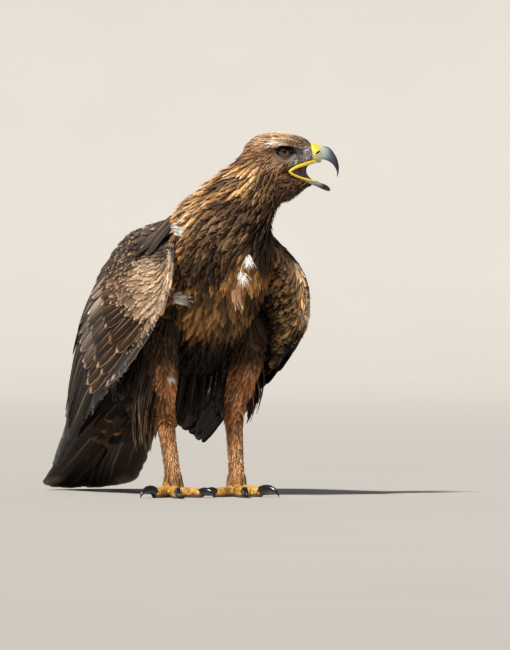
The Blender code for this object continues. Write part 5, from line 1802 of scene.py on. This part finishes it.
def foot_tubes(sign):
    """The pad under the shank and the four toes."""
    middle = (sign * FOOT_TOP[0], FOOT_TOP[1], 0)
    tubes = [[columns(wide * np.cos(TURN), 1.08 * wide * np.sin(TURN), z) + middle for z, wide in FOOT_PAD]]
    s = np.linspace(0, 1, 48)
    for toe, (_, _, thick_root, thick_end, _, _) in TOES.items():
        root, direction, length = toe_line(sign, toe)
        thick = thick_root + (thick_end - thick_root) * s
        height = thick - 1.6 + 1.6 * np.sin(np.pi * s) ** 2
        path = root + np.outer(length * s, direction) + np.outer(height, UP)
        tubes.append(swept_rings(path, thick * KNUCKLES(s)[:, 0], 28, floor=0.0))
    return tubes


def scute(phase, high):
    """Height and groove of overlapping scutes, one to each whole number of phase."""
    step = phase - np.floor(phase)
    rise = high * (step - 0.5) - high * smoothstep((step - 0.84) / 0.16)
    return rise, smoothstep((step - 0.8) / 0.15)


def make_foot(name, sign, material):
    """Pad and toes run together, with overlapping scutes across the toes and pads beneath."""
    foot = melded(name, foot_tubes(sign), FOOT_VOXEL, smooth=3)
    mesh = foot.data
    points, out = unplaced(coordinates(mesh)), normals(mesh)
    z = points[:, 2]
    push, dark, run = np.zeros(len(points)), np.zeros(len(points)), np.zeros(points.shape)
    nearest = np.full(len(points), np.inf)
    for toe in TOES:
        root, direction, length = toe_line(sign, toe)
        away = points - root
        ahead, aside = away @ direction, away @ np.cross(direction, UP)
        off = np.where(ahead > 4, np.abs(aside), 1e6)
        mine = off < nearest
        nearest = np.minimum(nearest, off)
        pitch = 3.5 + 0.5 * smoothstep((ahead - length * 0.55) / 10)
        rise, groove = scute((ahead + 0.04 * aside**2) / pitch, 1.3)
        top, begin = smoothstep((z - 3.5) / 4), smoothstep((ahead - 9) / 5)
        push = np.where(mine, rise * top * begin * 0.8, push)
        dark = np.where(mine, groove * top * begin, dark)
        run = np.where(mine[:, None], columns(ahead, aside, z), run)
    rise, groove = scute(z / PAD_SCUTE, 0.8)
    push, dark = np.where(z > PAD_TOP, rise, push), np.where(z > PAD_TOP, groove, dark)
    push = push + (wander(points, 3.2, 31) - 0.5) * 0.7 * np.where(push == 0, 1, 0.4)
    points = points + out * push[:, None]
    points[:, 2] = np.maximum(points[:, 2], 0.05)
    move_points(mesh, points)
    write_attribute(mesh, "groove", dark, "FLOAT")
    write_attribute(mesh, "run", run)
    mesh.materials.append(material)
    return foot


def make_claw(name, sign, toe, material):
    """Horn curved down from the toe's end, its tip just clear of the floor."""
    root, direction, length = toe_line(sign, toe)
    _, _, _, thick, reach, radius = TOES[toe]
    start = root + direction * (length - 4) + UP * (thick - 0.5)
    sweep, lift = math.radians(112), math.radians(38)
    bend = reach / sweep
    w = np.linspace(0, sweep, 48)
    forward = bend * (np.sin(w - lift) + math.sin(lift))
    up = bend * (np.cos(w - lift) - math.cos(lift))
    s = np.linspace(0, 1, 48)
    up = up - s**2 * (up[-1] + start[2] - 0.7)
    path = start + np.outer(forward, direction) + np.outer(up, UP)
    radii = radius * (1 - s**1.5) * np.where(s < 0.1, 0.86 + 1.4 * s, 1) + 0.35
    rings = swept_rings(path, radii, 24, flat=0.94, floor=0.15)
    claw = tubes_object(name, [rings], material)
    write_attribute(claw.data, "run", np.stack([np.append(np.repeat(s, 24), (0, 1))] * 3, -1))
    return claw


# ---- bare parts' materials

def ramped(look, value, stops):
    return look.node("ShaderNodeValToRGB", {"Fac": value}, "Color", stops=stops)


def horn_look(name, stops, roughness=0.28, ridged=0.0):
    """Horn whose colour runs from the root to the tip, with growth lines and fine scratches."""
    look = Look(name, roughness, Specular_IOR_Level=0.5, Coat_Weight=0.25, Coat_Roughness=0.2)
    along, height, _ = look.parts(look.attribute("run", "Vector"))
    cloud = look.noise(look.place(), 140, 3.0)
    lines = look.noise(look.vector(along * 60, height * 2), 1.0, 2.0)
    fine = look.noise(look.place(scale=(0.3, 1, 1)), 1400, 2.0)
    at = along + (cloud - 0.5) * 0.16 + look.falling(height, -0.9, 0.1) * 0.05
    colour = look.lit(ramped(look, at, stops), lines * 0.3 + 0.85)
    ridge = look.rising(height, 0.80, 0.93) * look.rising(along, 0.02, 0.22)
    edge = look.falling(height, -0.98, -0.88) * look.rising(along, 0.25, 0.6)
    rim = look.maths("MAXIMUM", ridge, edge) * ridged
    look.put("Base Color", look.mixed(rim, colour, JET))
    look.put("Roughness", fine * 0.25 + roughness - 0.08)
    look.raised(lines * 0.6 + fine * 0.4, 0.25, 0.0003)
    return look.material


def cere_look():
    """Waxy yellow skin, finely pored, a little greener and darker in its folds, with painted shade in the
    nostrils.
    """
    look = Look("cere", 0.42, Subsurface_Weight=0.12, Subsurface_Scale=0.002, Coat_Weight=0.2)
    cloud, pores = look.noise(look.place(), 160, 3.0), look.cells(look.place(), 1500)
    colour = look.mixed(cloud, (0.72, 0.50, 0.012), (0.84, 0.66, 0.06))
    fold = look.falling(look.noise(look.place(), 420, 2.0), 0.32, 0.5)
    feathered, slit, pale = look.parts(look.attribute("tint", "Vector"))
    colour = look.mixed(pale * 0.92, colour, (0.44, 0.49, 0.38))
    colour = look.mixed(fold * 0.4, colour, (0.42, 0.26, 0.02))
    bristles = look.mixed(look.noise(look.place(), 700, 2.0), SLATE, PALE_GREY)
    colour = look.mixed(feathered, colour, bristles)
    # the nostril's slit near black: painted shade in its hollow
    look.put("Base Color", look.mixed(slit, colour, (0.006, 0.005, 0.005)))
    look.raised(pores + cloud * 0.8, 0.3, 0.0003)
    return look.material


def mouth_look(name, colour, deep):
    """Wet flesh, cloudy between two colours."""
    look = Look(name, 0.32, Subsurface_Weight=0.1, Subsurface_Scale=0.002, Coat_Weight=0.5)
    cloud, fine = look.noise(look.place(), 180, 3.0), look.noise(look.place(), 900, 2.0)
    look.put("Base Color", look.mixed(cloud, colour, deep))
    look.raised(cloud + fine * 0.4, 0.4, 0.0005)
    return look.material


def eye_look():
    """Amber-brown iris with fibres round a black pupil, under a clear wet surface; its top and front are
    darkened as painted shade of the brow, and its lower front made lighter and more golden as painted light.
    """
    look = Look("eye", 0.1, Specular_IOR_Level=0.3, Coat_Weight=0.25, Coat_Roughness=0.02)
    around, over, away = look.parts(look.attribute("iris", "Vector"))
    fibres = look.noise(look.vector(around * 7, over * 7, away * 0.35), 1.0, 3.0)
    iris = look.mixed(fibres, (0.020, 0.010, 0.007), (0.12, 0.062, 0.038))
    # the iris is golden-brown; its lower front is made lighter and more golden as painted light
    lit_amber = look.rising(around * 0.6 - over * 0.8, -0.3, 0.8)
    iris = look.mixed(lit_amber * 0.75, iris, look.mixed(fibres, (0.07, 0.030, 0.007), (0.30, 0.15, 0.028)))
    iris = look.mixed(look.rising(away, 7.4, 9.2), iris, (0.008, 0.006, 0.005))
    shade = look.maths("MAXIMUM", look.rising(over * away, -0.6, 3.0), look.rising(around * away, 3.0, 6.0))
    iris = look.mixed(shade * 0.9, iris, (0.006, 0.004, 0.004))
    look.put("Base Color", look.mixed(look.rising(away, 2.5, 2.8), (0.002, 0.002, 0.002), iris))
    return look.material


def lid_look():
    """Dark smooth edge, small pale beads below the eye, and a buff outer fold; the upper lid stays dark as
    painted shade under the brow.
    """
    look = Look("lids", 0.5)
    cloud = look.noise(look.place(), 500, 2.0)
    reach, upper, beads = look.parts(look.attribute("rim", "Vector"))
    pale = look.mixed(cloud, (0.34, 0.31, 0.30), (0.66, 0.58, 0.50))
    speckle = look.falling(beads, 0.5, 0.9) * 0.2 + cloud * 0.5
    ring = look.rising(reach, 0.22, 0.30) * look.falling(reach, 0.44, 0.52) * speckle
    fold = look.rising(reach, 0.55, 0.68) * 0.75
    # pale marks only below the eye: above it the lid stays dark as painted shade under the brow
    below = look.falling(upper, 0.1, 0.6)
    bright = look.maths("MAXIMUM", ring, fold) * below
    look.put("Base Color", look.mixed(bright, (0.014, 0.010, 0.010), pale))
    look.raised(cloud, 0.3, 0.0003)
    return look.material


def foot_look():
    """Yellow scaled skin, maroon in blots, in its grooves and towards the floor."""
    look = Look("foot", 0.5, Subsurface_Weight=0.06, Subsurface_Scale=0.002, Coat_Weight=0.12)
    groove = look.attribute("groove", "Fac")
    _, _, high = look.parts(look.attribute("run", "Vector"))
    cloud, blot = look.noise(look.place(), 130, 3.0), look.noise(look.place(), 60, 3.0)
    scales = look.cells(look.place(), 620)
    colour = look.mixed(cloud, (0.46, 0.24, 0.05), (0.74, 0.46, 0.08))
    # maroon grows towards the floor as well as in blots and grooves
    low = look.falling(high, 0.5, 6.0)
    maroon_share = look.rising(blot + low * 0.42 + groove * 0.40, 0.50, 0.68)
    colour = look.mixed(maroon_share * 0.88, colour, (0.050, 0.012, 0.014))
    colour = look.mixed(groove * 0.75, colour, (0.14, 0.040, 0.016))
    colour = look.mixed(look.rising(scales, 0.45, 0.75) * 0.35, colour, (0.36, 0.15, 0.02))
    look.put("Base Color", colour)
    look.raised(look.falling(scales, 0.0, 0.7) + cloud * 0.5, 0.5, 0.0006)
    return look.material


# ---- the bird put together

BODY = "root"
# stops of the horns' colours from root to tip
BILL_HORN = [
    (0.06, (0.36, 0.43, 0.38)), (0.24, (0.22, 0.27, 0.27)), (0.42, (0.065, 0.075, 0.105)), (0.74, JET),
]
LOWER_HORN = [(0.45, (0.56, 0.50, 0.46)), (0.66, (0.22, 0.22, 0.23)), (0.80, JET)]
CLAW_HORN = [(0.0, (0.030, 0.026, 0.026)), (0.3, (0.010, 0.010, 0.012))]


def hang_on(piece, slot, *nodes):
    """Lets a piece ride on the body in place of the solids that it stands for, which are hidden; its slot is
    not used.
    """
    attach(piece, BODY)
    if nodes:
        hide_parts(*nodes)


def dress_body(tree, blades, plumage, under_feathers):
    """The skin with its coats, the loose feathers of the vent and the white down."""
    skin, samples, points = make_skin()
    unwrap(skin)
    skin.data.materials.append(under_feathers)
    legs = ("thigh_left", "thigh_right", "tarsus_left", "tarsus_right")
    hang_on(skin, "body_feathers", "torso", "neck", "head", *legs)
    part, knot = samples[:, 6], samples[:, 7]
    on_trunk = part == TORSO
    coats = {
        "coat_body": (on_trunk & (knot < 1.16), "lance", 5.8, 0.26, "body_feathers"),
        "coat_neck": (on_trunk & (knot > 1.10), "lance", 4.3, 0.20, "hackles"),
        "coat_head": (part == HEAD_PART, "small", 1.45, 0.20, "hackles"),
        "coat_thighs": (part == LEG, "soft", 3.3, 0.20, "leg_feathers"),
        "coat_shanks": (part == SHANK, "soft", 2.2, 0.18, "leg_feathers"),
    }
    for name, (chosen, kind, spacing, stray, slot) in coats.items():
        hang_on(grow_coat(name, skin, chosen, tree, blades[kind], spacing, plumage, stray), slot)
    vent, down = Plumes(33), Plumes(35)
    lay_vent(vent)
    lay_tufts(down, points)
    hang_on(vent.gathered("vent", plumage), "body_feathers")
    hang_on(down.gathered("down", plumage_look("down", barbs=0.3, spread=0.3)), "body_feathers")


def dress_limbs(tree, blades, plumage, under_feathers):
    """Shoulders, trousers and wings on both sides, and the tail."""
    scaled = plumage_look("scaled", fringe=0.30, ragged=0.35)
    flight = plumage_look("flight", shaft=0.3, barbs=0.8, fringe=0.24, spread=1.1, ragged=0.4)
    for side, sign in SIDES.items():
        shoulder, leg = Plumes(34 + sign), Plumes(36 + sign)
        lay_scapulars(shoulder, sign)
        lay_trousers(leg, sign)
        lay_ankle(leg, sign)
        hang_on(shoulder.gathered("scapulars_" + side, flight), "flight_feathers")
        hang_on(leg.gathered("trousers_" + side, plumage), "leg_feathers")
        arm = wing_core("arm_" + side, sign)
        mark_wing(arm, sign)
        unwrap(arm)
        arm.data.materials.append(under_feathers)
        every = np.ones(len(arm.data.vertices), bool)
        small = grow_coat("coat_arm_" + side, arm, every, tree, blades["broad"], 4.3, scaled, 0.14)
        hang_on(arm, "flight_feathers")
        hang_on(small, "flight_feathers")
        hang_on(wing_feathers("feathers_" + side, sign, flight), "flight_feathers", "wing_" + side)
    hang_on(tail_feathers("tail_feathers", flight), "flight_feathers", "tail")
    hang_on(tail_core("tail_base", under_feathers), "flight_feathers")


def dress_bill():
    """Horn of both jaws, cere, lining and tongue."""
    horn = horn_look("bill_horn", BILL_HORN, ridged=0.9)
    hang_on(jaw("bill_sheath", BILL, 90, horn, square=0.6, roof=0.45), "bill", "bill_upper")
    horn = horn_look("lower_horn", LOWER_HORN)
    hang_on(jaw("mandible_sheath", MANDIBLE, 90, horn, trough=0.75), "bill", "bill_lower")
    hang_on(make_cere(cere_look()), "yellow_skin", "cere")
    lining = mouth_look("mouth_web", (0.045, 0.014, 0.016), (0.085, 0.030, 0.024))
    hang_on(make_mouth(lining), "mouth", "mouth_lining")
    flesh = mouth_look("tongue_flesh", (0.30, 0.10, 0.10), (0.20, 0.05, 0.06))
    hang_on(make_tongue(flesh), "mouth", "tongue")


def dress_eyes_and_feet():
    lids_skin, eye_skin, foot_skin = lid_look(), eye_look(), foot_look()
    claw_horn = horn_look("claw_horn", CLAW_HORN, 0.16)
    for side, sign in SIDES.items():
        hang_on(make_eyeball("eyeball_" + side, sign, eye_skin), "eye", "eye_" + side)
        hang_on(make_lids("lids_" + side, sign, lids_skin), "eye")
        hang_on(make_foot("toes_" + side, sign, foot_skin), "yellow_skin", "foot_" + side)
        for toe in TOES:
            claw = make_claw(f"talon_{side}_{toe}", sign, toe, claw_horn)
            hang_on(claw, "claw", f"claw_{side}_{toe}")


def dress():
    """Makes every piece of the bird."""
    plumage = plumage_look("plumage", shaft=0.12, fringe=0.38, spread=1.1)
    feathering = (coat_tree(), make_blades(), plumage, skin_look())
    dress_body(*feathering)
    dress_limbs(*feathering)
    dress_bill()
    dress_eyes_and_feet()


# ---- camera, floor and light

SENSOR, FRAME_HEIGHT, DISTANCE = 36, 0.845, 8.0
AIM = VIEW_RIGHT * 63.7 + UP * 223.6  # where the camera looks, in the bird's frame
KEY_STRENGTH, WORLD_STRENGTH = 5.3, 0.07


def aimed(name, data, at, along):
    """A camera or lamp at a place in metres, facing along a direction."""
    obj = new_object(name, data)
    obj.location, obj.rotation_mode = at, "QUATERNION"
    obj.rotation_quaternion = Vector(along).to_track_quat("-Z", "Y")
    return obj


def set_camera():
    lens = bpy.data.cameras.new("camera")
    lens.sensor_width, lens.lens, lens.clip_end = SENSOR, SENSOR * DISTANCE / FRAME_HEIGHT, 100
    at = placed(AIM) - VIEW_AHEAD * DISTANCE
    bpy.context.scene.camera = aimed("camera", lens, at, VIEW_AHEAD)


def set_floor():
    """A pale floor that sweeps up behind the bird."""
    curve = [(9.5 + 3 * math.sin(w), 3 - 3 * math.cos(w)) for w in np.linspace(0, math.pi / 2, 24)]
    profile = [(-12, 0), *curve, (12.5, 14)]
    rows = [[(side * 14, y, z) for side in (-1, 1)] for y, z in profile]
    points = np.array(rows).reshape(-1, 3) @ np.array([VIEW_RIGHT, VIEW_AHEAD, UP])
    look = Look("floor", 0.9)
    cloud = look.noise(look.place(), 3, 2.0)
    look.put("Base Color", look.mixed(cloud, (0.43, 0.42, 0.41), (0.46, 0.45, 0.44)))
    mesh = mesh_of("floor", points, grid_faces(len(rows), 2, closed=False))
    new_object("floor", mesh, look.material)


def set_light():
    """One high soft sun from the viewer's side, with a low even fill."""
    sun = bpy.data.lights.new("key", "SUN")
    sun.energy, sun.angle, sun.color = KEY_STRENGTH, math.radians(5), (1.0, 0.95, 0.87)
    aimed("key", sun, (0, 0, 0), VIEW_RIGHT * 0.42 + VIEW_AHEAD * 0.75 - UP)
    disk = bpy.data.lights.new("fill", "AREA")
    disk.shape, disk.size, disk.energy, disk.color = "DISK", 2.5, 6, (0.90, 0.95, 1.0)
    spot = VIEW_RIGHT * 2.0 - VIEW_AHEAD * 2.0 + UP
    aimed("fill", disk, spot, UP * 0.25 - spot)
    world = bpy.data.worlds.new("studio")
    bpy.context.scene.world = world
    world.use_nodes = True
    ground = world.node_tree.nodes["Background"].inputs
    ground["Color"].default_value, ground["Strength"].default_value = (0.92, 0.95, 1, 1), WORLD_STRENGTH
    bpy.context.scene.view_settings.view_transform = "Standard"


set_camera()
set_floor()
set_light()
dress()
